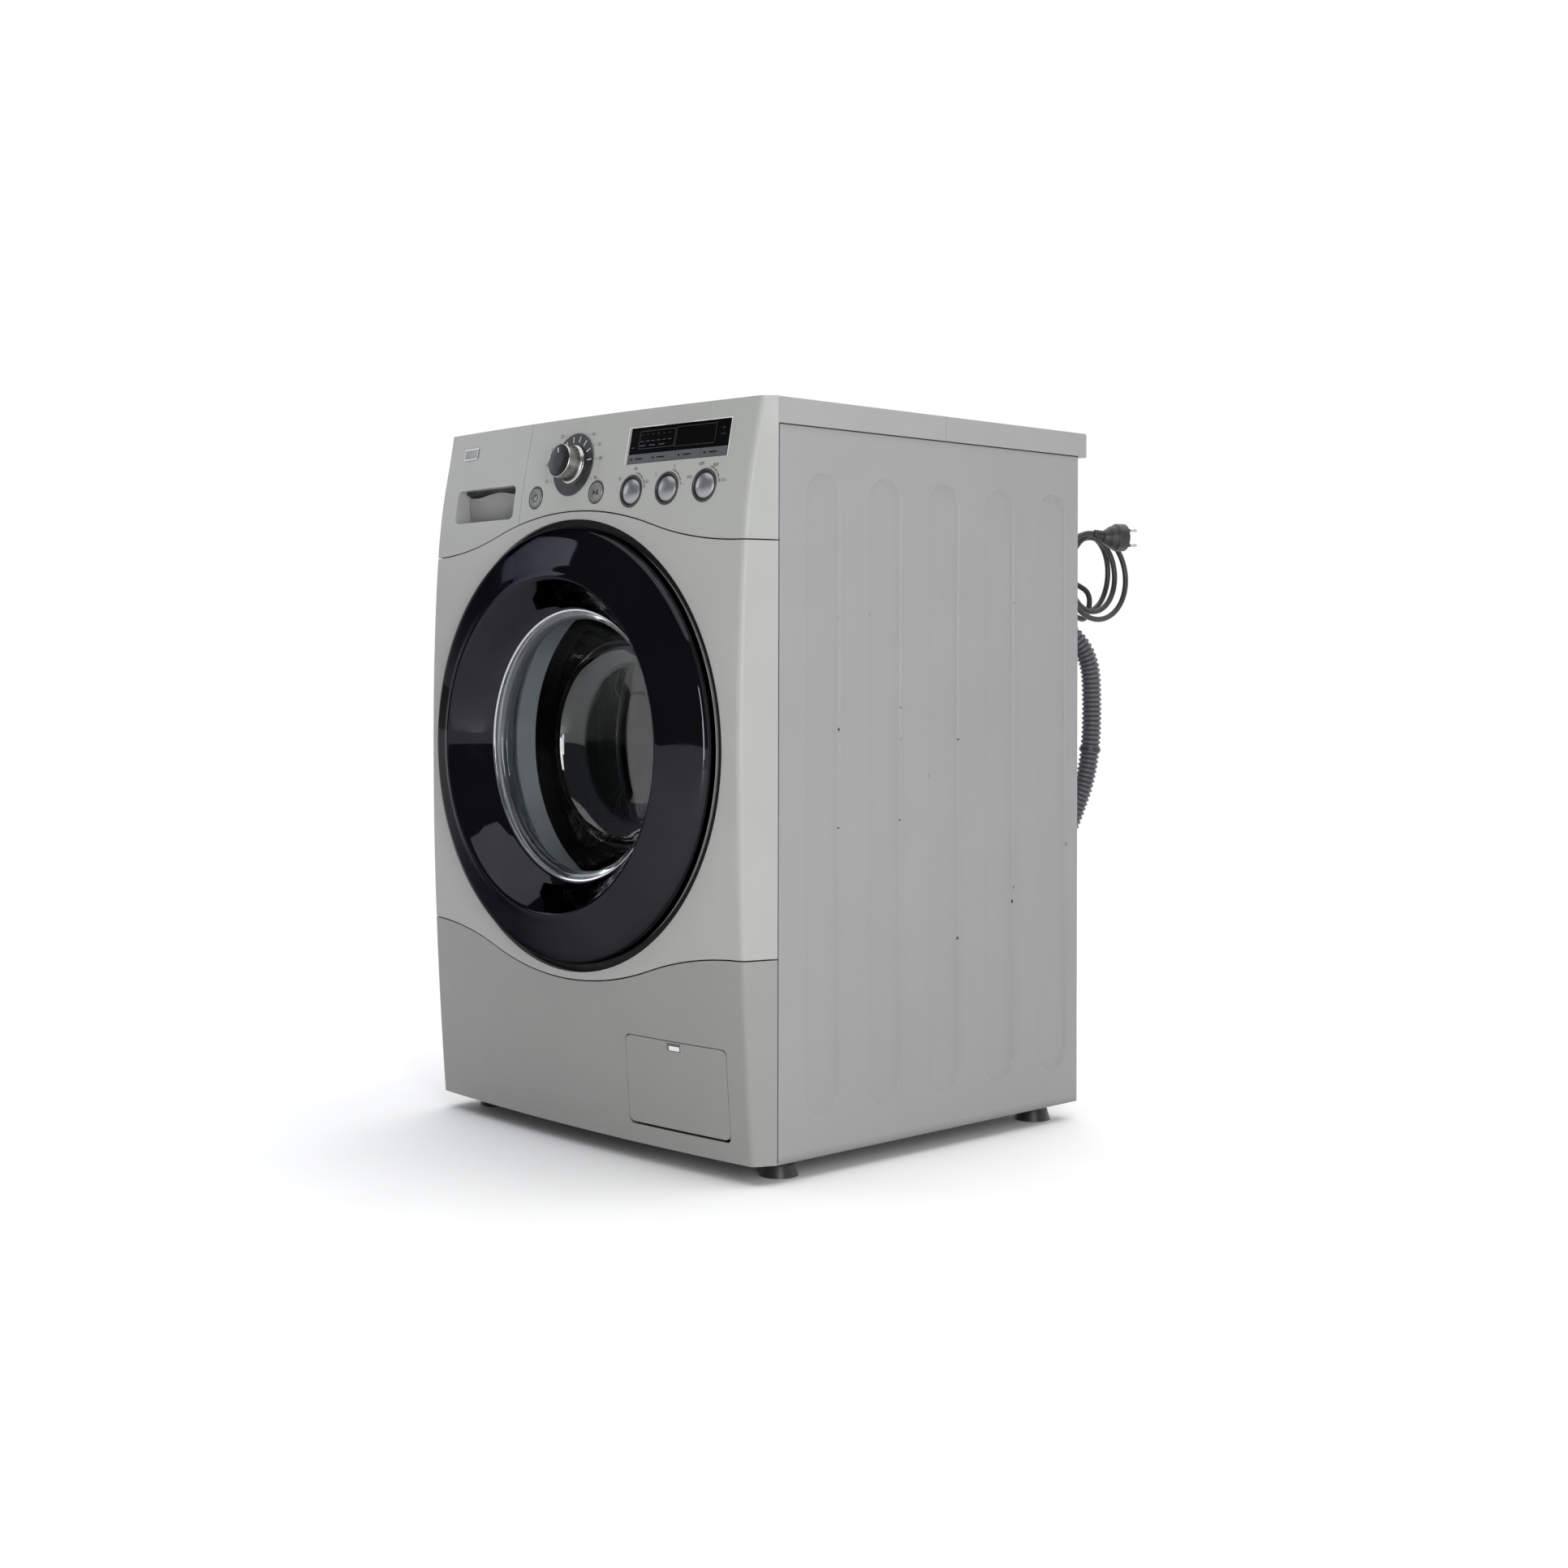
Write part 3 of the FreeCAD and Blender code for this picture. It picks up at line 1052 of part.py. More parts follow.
def publish_cord(label, shape):
    obj = feature(label, shape)
    obj.Label = label
    NODES.append(obj)


def make_cords():
    radius = S.hose_diameter / 2
    hose, length, radii = pipe(HOSE_ROUTE, radius)
    report_pipe("drain_hose", hose, length, radius, radii)
    publish_cord("drain_hose", hose)

    end = Vector(*HOSE_ROUTE[-1])
    down = (end - Vector(*HOSE_ROUTE[-2])).normalize()
    cuff = Part.makeCylinder(radius + 3, 42, end, down)
    tip = Part.makeCone(radius + 1, radius - 2, 34, end + down * 42, down)
    bore = Part.makeCylinder(radius - 4, 90, end + down * 6, down)
    publish_cord("hose_spout", cuff.fuse(tip).cut(bore))

    rear_y = S_FRONT_Y + S.cabinet_depth
    start = Vector(*HOSE_ROUTE[0])
    stub = Part.makeCylinder(9.4, start.y - rear_y + 4, Vector(HOSE_X, rear_y - 4, HOSE_EXIT_Z),
                             Vector(0, 1, 0))
    knee = Part.makeSphere(9.4, Vector(HOSE_X, start.y, HOSE_EXIT_Z))
    rise = Part.makeCylinder(9.4, start.z - HOSE_EXIT_Z, Vector(HOSE_X, start.y, HOSE_EXIT_Z))
    collar = Part.makeCylinder(radius + 2.5, 12, start - Vector(0, 0, 12))
    parts = [Part.makeCompound([stub.fuse([knee, rise, collar])])]
    for x, z in CLIP_PLACES:
        x_hose, y_hose = x
        outer = Part.makeCylinder(radius + 3.2, 14, Vector(x_hose, y_hose, z - 7))
        inner = Part.makeCylinder(radius + 0.4, 14, Vector(x_hose, y_hose, z - 7))
        pad = Part.makeBox(20, y_hose - rear_y - radius, 14,
                           Vector(x_hose - 10, rear_y, z - 7))
        mouth = Part.makeBox(17, 30, 16, Vector(x_hose - 8.5, y_hose, z - 8))
        parts.append(outer.fuse(pad).cut([inner, mouth]))
    publish_cord("hose_fittings", Part.makeCompound(parts))

    radius = S.cord_diameter / 2
    cord, length, radii = pipe(CORD_ROUTE, radius)
    report_pipe("power_cord", cord, length, radius, radii)
    publish_cord("power_cord", cord)
    coil = Part.makeTorus(S.coil_radius, S.coil_thick, Vector(*COIL_CENTRE), Vector(1, 0, 0))
    publish_cord("power_cord_coil", coil)

    x, z = S.gland_x, S.gland_z
    collar = Part.makeCylinder(11, 3, Vector(x, rear_y, z), Vector(0, 1, 0))
    sleeve = Part.makeCylinder(7.8, 8, Vector(x, rear_y - 8, z), Vector(0, 1, 0))
    taper = Part.makeCone(8, 5, CORD_ROUTE[0][1] - rear_y - 3, Vector(x, rear_y + 3, z),
                          Vector(0, 1, 0))
    publish_cord("cord_gland", collar.fuse([sleeve, taper]))

    face = Vector(*PLUG_FACE)
    tail_start = Vector(*PLUG_TAIL)
    tail = Part.makeCone(4, 6, (face - tail_start).Length + 2, tail_start, face - tail_start)
    ahead = Vector(*PLUG_HEADING)
    grip = Part.makeCone(9, 15, 14, face, ahead)
    disc = Part.makeCylinder(17.5, 13, face + ahead * 14, ahead)
    pins = [Part.makeCylinder(2.4, 19, face + ahead * 27 + Vector(0, 0, dz), ahead)
            for dz in (-9.5, 9.5)]
    publish_cord("power_plug", tail.fuse([grip, disc, *pins]))


CLIP_PLACES = [((87, 307), 558), ((79.6, 306.1), 380)]


def report_pipe(label, shape, length, radius, radii):
    ideal = math.pi * radius**2 * length
    print(f"{label}: length {length:.1f}, least bend radius {min(radii):.1f}, "
          f"volume {shape.Volume / ideal:.4f} of section times length")
    print("  bend radii:", " ".join(f"{r:.0f}" for r in radii))


# ---------------------------------------------------------------- build, test and write

make_cabinet()
make_base()
make_top()
make_front_panel()
make_hatch()
make_console()
make_door()
make_gasket()
make_tub()
make_suspension()
make_drum()
make_dispenser()
make_pump()
make_cords()
doc.recompute()

problems = [f"{o.Name}: {', '.join(o.State)}" for o in doc.Objects
            if "Invalid" in o.State or "Error" in o.State]
for node in NODES:
    shape = node.Shape
    if shape.isNull() or not shape.isValid() or not shape.Solids:
        problems.append(f"{node.Label}: not a valid solid")
if problems:
    raise SystemExit("\n".join(problems))

os.makedirs("parts", exist_ok=True)
for node in NODES:
    node.Shape.exportStep(f"parts/{node.Label}.step")
print(f"{len(NODES)} nodes, {sum(len(n.Shape.Solids) for n in NODES)} solids")
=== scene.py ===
import math
import random

import bmesh
import bpy
from mathutils import Euler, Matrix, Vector


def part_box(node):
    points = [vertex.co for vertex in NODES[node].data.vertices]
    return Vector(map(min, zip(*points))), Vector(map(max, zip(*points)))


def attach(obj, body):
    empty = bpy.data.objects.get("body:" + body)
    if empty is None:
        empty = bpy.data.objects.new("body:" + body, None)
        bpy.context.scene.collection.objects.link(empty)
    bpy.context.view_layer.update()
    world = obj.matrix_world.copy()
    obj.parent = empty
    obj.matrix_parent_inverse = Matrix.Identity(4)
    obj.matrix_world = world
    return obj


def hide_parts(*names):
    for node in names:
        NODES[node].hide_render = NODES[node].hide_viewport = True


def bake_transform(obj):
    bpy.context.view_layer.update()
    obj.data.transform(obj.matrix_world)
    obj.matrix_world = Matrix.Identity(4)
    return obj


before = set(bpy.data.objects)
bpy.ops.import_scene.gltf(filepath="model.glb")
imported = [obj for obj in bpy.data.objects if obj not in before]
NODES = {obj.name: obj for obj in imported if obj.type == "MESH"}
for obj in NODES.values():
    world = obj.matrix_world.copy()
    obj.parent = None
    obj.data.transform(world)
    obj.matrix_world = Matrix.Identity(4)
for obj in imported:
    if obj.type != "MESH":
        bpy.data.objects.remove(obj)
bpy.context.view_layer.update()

# A front load washing machine, in metres. X is its right side seen from the front, Y its back.
MM = 0.001
wrap_low, wrap_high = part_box("cabinet_wrap")
SEAM_Y = wrap_low[1]
HALF_WIDTH = wrap_high[0]
DOOR_Z = (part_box("door_glass")[0][2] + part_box("door_glass")[1][2]) / 2
Y_AXIS = Vector((0, 1, 0))


# ---------------------------------------------------------------- stage, lights and camera

def add(obj):
    bpy.context.scene.collection.objects.link(obj)
    return obj


CAMERA_PLACE = (1.963, -1.789, 0.5525)
CAMERA_TURN = (90, -0.13, 46.55)
CAMERA_LENS = 48.82
CAMERA_SHIFT = -0.0714


def make_camera():
    data = bpy.data.cameras.new("camera")
    data.sensor_width = 36
    data.lens = CAMERA_LENS
    data.shift_y = CAMERA_SHIFT
    data.clip_start = 0.05
    camera = add(bpy.data.objects.new("camera", data))
    camera.location = CAMERA_PLACE
    camera.rotation_euler = Euler([math.radians(turn) for turn in CAMERA_TURN])
    bpy.context.scene.camera = camera


def area_light(name, place, target, size, power, colour=(1, 1, 1)):
    data = bpy.data.lights.new(name, "AREA")
    data.shape = "RECTANGLE"
    data.size, data.size_y = size
    data.energy = power
    data.color = colour
    light = add(bpy.data.objects.new(name, data))
    light.location = place
    light.rotation_euler = (Vector(target) - Vector(place)).to_track_quat("-Z", "Y").to_euler()


def make_lights():
    bpy.context.scene.view_settings.view_transform = "Standard"
    world = bpy.data.worlds.new("studio")
    bpy.context.scene.world = world
    world.use_nodes = True
    tree = world.node_tree
    tree.nodes.clear()
    out = tree.nodes.new("ShaderNodeOutputWorld")
    back = tree.nodes.new("ShaderNodeBackground")
    ramp = tree.nodes.new("ShaderNodeValToRGB")
    place = tree.nodes.new("ShaderNodeTexCoord")
    split = tree.nodes.new("ShaderNodeSeparateXYZ")
    tree.links.new(place.outputs["Generated"], split.inputs[0])
    tree.links.new(split.outputs["Y"], ramp.inputs["Fac"])
    tree.links.new(ramp.outputs["Color"], back.inputs["Color"])
    tree.links.new(back.outputs["Background"], out.inputs["Surface"])
    ramp.color_ramp.elements[0].position = 0.0
    ramp.color_ramp.elements[0].color = (0.16, 0.165, 0.175, 1)
    ramp.color_ramp.elements[1].position = 0.33
    ramp.color_ramp.elements[1].color = (1, 1, 1, 1)
    back.inputs["Strength"].default_value = 1.02
    sun = bpy.data.lights.new("overhead", "SUN")
    sun.energy = 1.9
    sun.angle = math.radians(80)
    add(bpy.data.objects.new("overhead", sun))
    area_light("key_strip", (2.45, -1.45, 0.95), (0, -0.25, 0.5), (0.5, 1.5), 30)
    area_light("low_strip", (2.8, -2.3, 0.5), (0, -0.3, 0.45), (0.3, 1.2), 14)
    area_light("left_panel", (-2.45, -1.35, 1.55), (0, -0.3, 0.5), (1.15, 1.1), 9, (0.9, 0.93, 1))
    area_light("far_left_panel", (-2.8, -0.45, 1.15), (0, -0.3, 0.5), (1.1, 1.0), 2, (0.9, 0.93, 1))


def make_floor():
    mesh = bpy.data.meshes.new("floor")
    size = 30
    mesh.from_pydata([(-size, -size, 0), (size, -size, 0), (size, size, 0), (-size, size, 0)], [],
                     [(0, 1, 2, 3)])
    floor = add(bpy.data.objects.new("floor", mesh))
    floor.data.materials.append(surface("floor_paint", (0.94, 0.94, 0.94), 0.8, vary=0.01))


# ---------------------------------------------------------------- materials

class Shader:
    """A node material built step by step round one Principled shader."""

    def __init__(self, name):
        self.material = bpy.data.materials.new(name)
        self.material.use_nodes = True
        self.tree = self.material.node_tree
        self.base = self.tree.nodes["Principled BSDF"]
        self.coords = self.tree.nodes.new("ShaderNodeTexCoord")

    def node(self, kind, **inputs):
        made = self.tree.nodes.new(kind)
        for key, value in inputs.items():
            made.inputs[key.replace("_", " ")].default_value = value
        return made

    def link(self, output, target):
        self.tree.links.new(output, target)

    def noise(self, scale, detail=3, stretch=None):
        made = self.node("ShaderNodeTexNoise", Scale=scale, Detail=detail)
        if stretch:
            mapping = self.node("ShaderNodeMapping", Scale=stretch)
            self.link(self.coords.outputs["Object"], mapping.inputs["Vector"])
            self.link(mapping.outputs["Vector"], made.inputs["Vector"])
        else:
            self.link(self.coords.outputs["Object"], made.inputs["Vector"])
        return made.outputs["Fac"]

    def range(self, value, low, high, to_low, to_high):
        made = self.node("ShaderNodeMapRange")
        for socket, number in zip(("From Min", "From Max", "To Min", "To Max"),
                                  (low, high, to_low, to_high)):
            made.inputs[socket].default_value = number
        self.link(value, made.inputs["Value"])
        return made.outputs["Result"]

    def mix(self, factor, first, second):
        made = self.tree.nodes.new("ShaderNodeMix")
        made.data_type = "RGBA"
        self.link(factor, made.inputs["Factor"])
        for socket, value in ((6, first), (7, second)):
            if isinstance(value, tuple):
                made.inputs[socket].default_value = (*value, 1)
            else:
                self.link(value, made.inputs[socket])
        return made.outputs[2]

    def bump(self, height, strength, distance, edge=0.0):
        made = self.node("ShaderNodeBump", Strength=strength, Distance=distance)
        self.link(height, made.inputs["Height"])
        if edge:
            bevel = self.node("ShaderNodeBevel", Radius=edge)
            bevel.samples = 6
            self.link(bevel.outputs["Normal"], made.inputs["Normal"])
        self.link(made.outputs["Normal"], self.base.inputs["Normal"])

    def set(self, **values):
        for key, value in values.items():
            self.base.inputs[key.replace("_", " ")].default_value = value


def shade(colour, factor):
    return tuple(min(1.0, c * factor) for c in colour)


def surface(name, colour, rough, metal=0.0, vary=0.06, scale=9, grain=700, grain_depth=0.05,
            edge=0.0, rough_vary=0.06, sheen=0.0, shine=0.5, edge_tint=1.0):
    """Painted, moulded or metal surface: cloudy colour, uneven gloss and fine grain."""
    s = Shader(name)
    cloud = s.noise(scale, 4)
    tone = s.mix(s.range(cloud, 0.3, 0.7, 0, 1), shade(colour, 1 - vary), shade(colour, 1 + vary))
    s.link(tone, s.base.inputs["Base Color"])
    wear = s.noise(scale * 6, 5)
    s.link(s.range(wear, 0.25, 0.75, max(0.02, rough - rough_vary), rough + rough_vary),
           s.base.inputs["Roughness"])
    s.bump(s.noise(grain, 2), grain_depth, 0.0004, edge)
    s.set(Metallic=metal, Sheen_Weight=sheen, Specular_IOR_Level=shine,
          Specular_Tint=(edge_tint, edge_tint, edge_tint, 1))
    return s.material


def glass(name, colour, rough=0.01):
    s = Shader(name)
    smears = s.noise(14, 5)
    s.link(s.range(smears, 0.45, 0.8, rough, rough + 0.05), s.base.inputs["Roughness"])
    tint = s.mix(s.range(s.noise(5), 0.3, 0.7, 0, 1), colour, shade(colour, 0.94))
    s.link(tint, s.base.inputs["Base Color"])
    s.bump(s.noise(30, 1), 0.02, 0.0005)
    s.set(Transmission_Weight=1.0, IOR=1.47)
    return s.material


def brushed(name, colour, rough, axis_scale, depth=0.12):
    s = Shader(name)
    lines = s.noise(60, 3, axis_scale)
    tone = s.mix(s.range(lines, 0.3, 0.7, 0, 1), shade(colour, 0.86), shade(colour, 1.1))
    s.link(tone, s.base.inputs["Base Color"])
    s.link(s.range(lines, 0.3, 0.7, rough * 0.8, rough * 1.3), s.base.inputs["Roughness"])
    s.bump(lines, depth, 0.0002)
    s.set(Metallic=1.0)
    return s.material


def make_materials():
    white = (0.352, 0.356, 0.342)
    return {
        "enamel": surface("enamel", (0.266, 0.267, 0.269), 0.42, edge=0.0008, vary=0.02,
                          rough_vary=0.03, shine=0.3),
        "front_enamel": surface("front_enamel", white, 0.36, edge=0.0004, vary=0.02, rough_vary=0.02,
                                shine=0.25),
        "console_plastic": surface("console_plastic", (0.348, 0.354, 0.335), 0.36, edge=0.0004,
                                   vary=0.02, grain=1500, rough_vary=0.03, shine=0.25),
        "kick_plastic": surface("kick_plastic", (0.262, 0.264, 0.252), 0.4, edge=0.0005, vary=0.02,
                                grain=1500, rough_vary=0.03, shine=0.25),
        "trim_plastic": surface("trim_plastic", (0.295, 0.295, 0.295), 0.38, edge=0.0006, vary=0.02,
                                shine=0.3),
        "worktop": surface("worktop", (0.5, 0.5, 0.49), 0.5, grain=420, grain_depth=0.25),
        # Chrome darkened in colour as a painted reflection of dark surroundings.
        "chrome_with_painted_dark_reflection": surface("chrome_with_painted_dark_reflection", (0.026, 0.026, 0.030), 0.045, metal=1.0, vary=0.12,
                               rough_vary=0.02, grain=40, grain_depth=0.01, edge_tint=0.4),
        "bright_trim": surface("bright_trim", (0.5, 0.5, 0.52), 0.12, metal=1.0, rough_vary=0.04),
        "silver": surface("silver", (0.17, 0.173, 0.175), 0.34, metal=0.4, grain=2600, vary=0.05),
        "key_silver": surface("key_silver", (0.085, 0.09, 0.092), 0.4, metal=0.1, shine=0.2, grain=2600,
                              edge=0.0004),
        "knob_metal": brushed("knob_metal", (0.42, 0.41, 0.39), 0.22, (1, 60, 1)),
        "knob_cap": surface("knob_cap", (0.007, 0.0075, 0.0105), 0.3, vary=0.1, shine=0.2),
        "dial_dark": surface("dial_dark", (0.020, 0.021, 0.024), 0.3, vary=0.15, shine=0.2),
        "print_white": surface("print_white", (0.75, 0.76, 0.75), 0.5),
        # Grey print, also used as painted shade in the hatch tab's recess.
        "grey_print_and_painted_shade": surface("grey_print_and_painted_shade", (0.085, 0.088, 0.085), 0.5),
        "display": surface("display", (0.0022, 0.0022, 0.0025), 0.12, vary=0.3, rough_vary=0.03,
                           grain_depth=0.01, shine=0.08),
        "display_ghost": surface("display_ghost", (0.03, 0.032, 0.034), 0.3),
        "stainless": brushed("stainless", (0.30, 0.30, 0.31), 0.24, (1, 40, 1)),
        "steel_dark": surface("steel_dark", (0.22, 0.22, 0.23), 0.35, metal=1.0, vary=0.15),
        "galvanised": surface("galvanised", (0.42, 0.44, 0.46), 0.42, metal=0.8, scale=45,
                              vary=0.12, edge=0.0008),
        "alloy": surface("alloy", (0.5, 0.5, 0.51), 0.45, metal=0.9, grain=900, grain_depth=0.3),
        "grey_plastic": surface("grey_plastic", (0.32, 0.33, 0.34), 0.45, grain=1200, edge=0.0006),
        "tub_plastic": surface("tub_plastic", (0.5, 0.51, 0.52), 0.55, grain=900),
        "black_plastic": surface("black_plastic", (0.018, 0.018, 0.019), 0.42, grain=1400, vary=0.2,
                                 grain_depth=0.15),
        "rubber_grey": surface("rubber_grey", (0.10, 0.115, 0.12), 0.5, grain=800, vary=0.12,
                               sheen=0.2),
        "rubber_black": surface("rubber_black", (0.014, 0.014, 0.014), 0.46, grain=1100, vary=0.2,
                                grain_depth=0.12, sheen=0.15),
        "hose": surface("hose", (0.066, 0.070, 0.078), 0.34, vary=0.12, grain=900),
        "concrete": surface("concrete", (0.42, 0.41, 0.39), 0.85, grain=260, grain_depth=0.7,
                            vary=0.15),
        "copper": surface("copper", (0.48, 0.2, 0.09), 0.3, metal=0.9, grain=600, grain_depth=0.5),
        "board": surface("board", (0.03, 0.14, 0.06), 0.4),
        "glass": glass("glass", (0.80, 0.84, 0.86)),
        # Near black for printed icons, ticks and paint chips, and also painted shade in the gaps round
        # the front and the door.
        "dark_marks_and_painted_shade": surface("dark_marks_and_painted_shade", (0.01, 0.01, 0.01), 0.8),
        "dome_silver": surface("dome_silver", (0.30, 0.305, 0.31), 0.34, metal=0.8, grain=3000,
                               vary=0.04),
        "recess_grey": surface("recess_grey", (0.27, 0.27, 0.265), 0.45),
        "plate_silver": surface("plate_silver", (0.45, 0.46, 0.47), 0.3, metal=0.5),
        # Painted highlight: a bright colour for edges drawn as if catching the light.
        "painted_highlight_white": surface("painted_highlight_white", (0.8, 0.8, 0.79), 0.35),
    }


NODE_LOOKS = {
    "front_enamel": ["front_panel"],
    "console_plastic": ["console_panel", "drawer_front"],
    "kick_plastic": ["kick_panel", "filter_hatch"],
    "trim_plastic": ["top_frame", "inlet_valve"],
    "worktop": ["top_board"],
    "key_silver": ["option_button_1", "option_button_2", "option_button_3", "option_button_4"],
    "display": ["display_window"],
    "board": ["control_board"],
    "grey_plastic": ["transit_bolt_caps"],
    "tub_plastic": ["tub_front", "tub_rear", "dispenser_housing", "dispenser_drawer", "drain_pump"],
    "black_plastic": ["base_pan", "door_lock", "damper_cylinders", "pump_filter", "hose_fittings",
                      "hose_spout"],
    "rubber_black": ["levelling_feet", "tub_hoses", "cord_gland", "power_plug"],
    "stainless": ["hinge_bracket", "door_latch_hook", "heater", "drum_lifters"],
    "steel_dark": ["bearing_set", "suspension_springs", "damper_rods", "drum_shaft",
                   "cover_screws"],
    "alloy": ["door_hinge_arm", "drum_spider"],
    "galvanised": ["rotor"],
    "concrete": ["counterweights"],
    "copper": ["stator"],
}


def dress_nodes(looks):
    for look, names in NODE_LOOKS.items():
        for name in names:
            mesh = NODES[name].data
            mesh.materials.clear()
            mesh.materials.append(looks[look])


# ---------------------------------------------------------------- mesh helpers

def finish_mesh(name, vertices, faces, material, sharp=35, smooth=True):
    mesh = bpy.data.meshes.new(name)
    mesh.from_pydata([tuple(v) for v in vertices], [], faces)
    work = bmesh.new()
    work.from_mesh(mesh)
    bmesh.ops.remove_doubles(work, verts=work.verts, dist=1e-6)
    bmesh.ops.recalc_face_normals(work, faces=work.faces)
    work.to_mesh(mesh)
    work.free()
    if smooth:
        mesh.shade_smooth()
        mesh.set_sharp_from_angle(angle=math.radians(sharp))
    mesh.materials.append(material)
    return add(bpy.data.objects.new(name, mesh))


def soften(points, radius, closed=True, steps=4):
    """Rounds the corners of a profile of (radius, depth) points given in millimetres."""
    done = []
    count = len(points)
    for i, corner in enumerate(points):
        corner = Vector(corner)
        if not closed and i in (0, count - 1):
            done.append(corner)
            continue
        before = Vector(points[i - 1]) - corner
        after = Vector(points[(i + 1) % count]) - corner
        reach = min(radius, 0.42 * before.length, 0.42 * after.length)
        start = corner + before.normalized() * reach
        end = corner + after.normalized() * reach
        for k in range(steps + 1):
            t = k / steps
            done.append(start.lerp(corner, t).lerp(corner.lerp(end, t), t))
    return done


def lathe(name, profile, centre, material, axis=Y_AXIS, steps=160, closed=True, sharp=35):
    """Turns a profile, in millimetres, about an axis through centre."""
    axis = Vector(axis).normalized()
    side = axis.cross(Vector((0, 0, 1))).normalized()
    up = axis.cross(side)
    vertices, rings = [], []
    for radius, depth in profile:
        start = Vector(centre) + axis * depth * MM
        if radius < 1e-6:
            rings.append([len(vertices)] * steps)
            vertices.append(start)
            continue
        ring = []
        for k in range(steps):
            turn = 2 * math.pi * k / steps
            ring.append(len(vertices))
            vertices.append(start + (side * math.cos(turn) + up * math.sin(turn)) * radius * MM)
        rings.append(ring)
    faces = []
    pairs = list(zip(rings, rings[1:] + rings[:1])) if closed else list(zip(rings, rings[1:]))
    for low, high in pairs:
        for k in range(steps):
            n = (k + 1) % steps
            face = [low[k], low[n], high[n], high[k]]
            face = [v for i, v in enumerate(face) if v != face[i - 1]]
            if len(face) > 2:
                faces.append(face)
    return finish_mesh(name, vertices, faces, material, sharp)


def sweep(name, line, radius_at, sides, material):
    """A mesh tube along a line of points, with radius_at(distance) at each."""
    line = [Vector(p) for p in line]
    normal = Vector((0, 0, 1)).cross(line[1] - line[0])
    if normal.length < 1e-6:
        normal = Vector((1, 0, 0))
    normal.normalize()
    vertices, faces = [], []
    along = 0.0
    for i, point in enumerate(line):
        ahead = line[min(i + 1, len(line) - 1)]
        behind = line[max(i - 1, 0)]
        tangent = (ahead - behind).normalized()
        normal = (normal - tangent * normal.dot(tangent)).normalized()
        across = tangent.cross(normal)
        if i:
            along += (point - line[i - 1]).length
        radius = radius_at(along)
        for k in range(sides):
            turn = 2 * math.pi * k / sides
            vertices.append(point + (normal * math.cos(turn) + across * math.sin(turn)) * radius)
    for i in range(len(line) - 1):
        for k in range(sides):
            n = (k + 1) % sides
            a, b = i * sides, (i + 1) * sides
            faces.append([a + k, a + n, b + n, b + k])
    faces.append(list(range(sides))[::-1])
    last = (len(line) - 1) * sides
    faces.append([last + k for k in range(sides)])
    return finish_mesh(name, vertices, faces, material, 60)


def spline_line(name, points):
    """The centreline of a NURBS spline through the route's control points."""
    curve = route_curve(name, points, 0)
    mesh = bpy.data.meshes.new_from_object(curve)
    line = [v.co.copy() for v in mesh.vertices]
    bpy.data.objects.remove(curve)
    bpy.data.meshes.remove(mesh)
    return line


def route_curve(name, points, radius):
    data = bpy.data.curves.new(name, "CURVE")
    data.dimensions = "3D"
    data.resolution_u = 10
    data.bevel_depth = radius
    data.bevel_resolution = 5
    data.use_fill_caps = True
    spline = data.splines.new("NURBS")
    spline.points.add(len(points) - 1)
    for target, point in zip(spline.points, points):
        target.co = (*point, 1)
    spline.order_u = 3
    spline.use_endpoint_u = True
    curve = add(bpy.data.objects.new(name, data))
    bpy.context.view_layer.update()
    return curve


def evenly(line, step):
    """Points a step apart along a line."""
    points, left = [line[0].copy()], step
    for start, end in zip(line, line[1:]):
        run = (end - start).length
        at = 0.0
        while run - at >= left:
            at += left
            points.append(start.lerp(end, at / run))
            left = step
        left -= run - at
    if (points[-1] - line[-1]).length > 0.2 * step:
        points.append(line[-1].copy())
    return points


# ---------------------------------------------------------------- the bowed front's surface

RIDGE_PROUD, RIDGE_CREST = 45.5, 480
RADIUS_BELOW, RADIUS_ABOVE = 5127, 3500
CONSOLE_FOOT, CONSOLE_LEAN, CONSOLE_RADIUS = 660, 0.0514, 1055
BOW, RIDGE_X = 13.5, 288


def ridge(z):
    """How far, in millimetres, the front's side ridge stands forward at height z."""
    if z <= CONSOLE_FOOT:
        radius = RADIUS_BELOW if z < RIDGE_CREST else RADIUS_ABOVE
        return RIDGE_PROUD - (z - RIDGE_CREST) ** 2 / (2 * radius)
    rise = z - CONSOLE_FOOT
    return ridge(CONSOLE_FOOT) - CONSOLE_LEAN * rise - rise**2 / (2 * CONSOLE_RADIUS)


def proud(x, z):
    return ridge(z) + BOW * (1 - (x / RIDGE_X) ** 2)


def on_face(x, z, out=0.0):
    """A point on the front's face, at x and z in millimetres, standing out of it."""
    return Vector((x * MM, SEAM_Y - (proud(x, z) + out) * MM, z * MM))


def face_inward(x, z):
    across = -2 * BOW * x / RIDGE_X**2
    upward = (ridge(z + 1) - ridge(z - 1)) / 2
    return Vector((across, 1, upward)).normalized()


def print_shapes(name, shapes, body, material, out=0.12, at=None):
    """Thin printed marks: each shape is a closed outline of (x, z) in millimetres."""
    vertices, faces = [], []
    for shape in shapes:
        start = len(vertices)
        vertices += [on_face(x, z, out) if at is None else at(x, z) for x, z in shape]
        faces.append(list(range(start, start + len(shape))))
    mesh = bpy.data.meshes.new(name)
    mesh.from_pydata([tuple(v) for v in vertices], [], faces)
    mesh.materials.append(material)
    piece = add(bpy.data.objects.new(name, mesh))
    solid = piece.modifiers.new("print", "SOLIDIFY")
    solid.thickness = 0.0001
    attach(piece, body)
    return piece


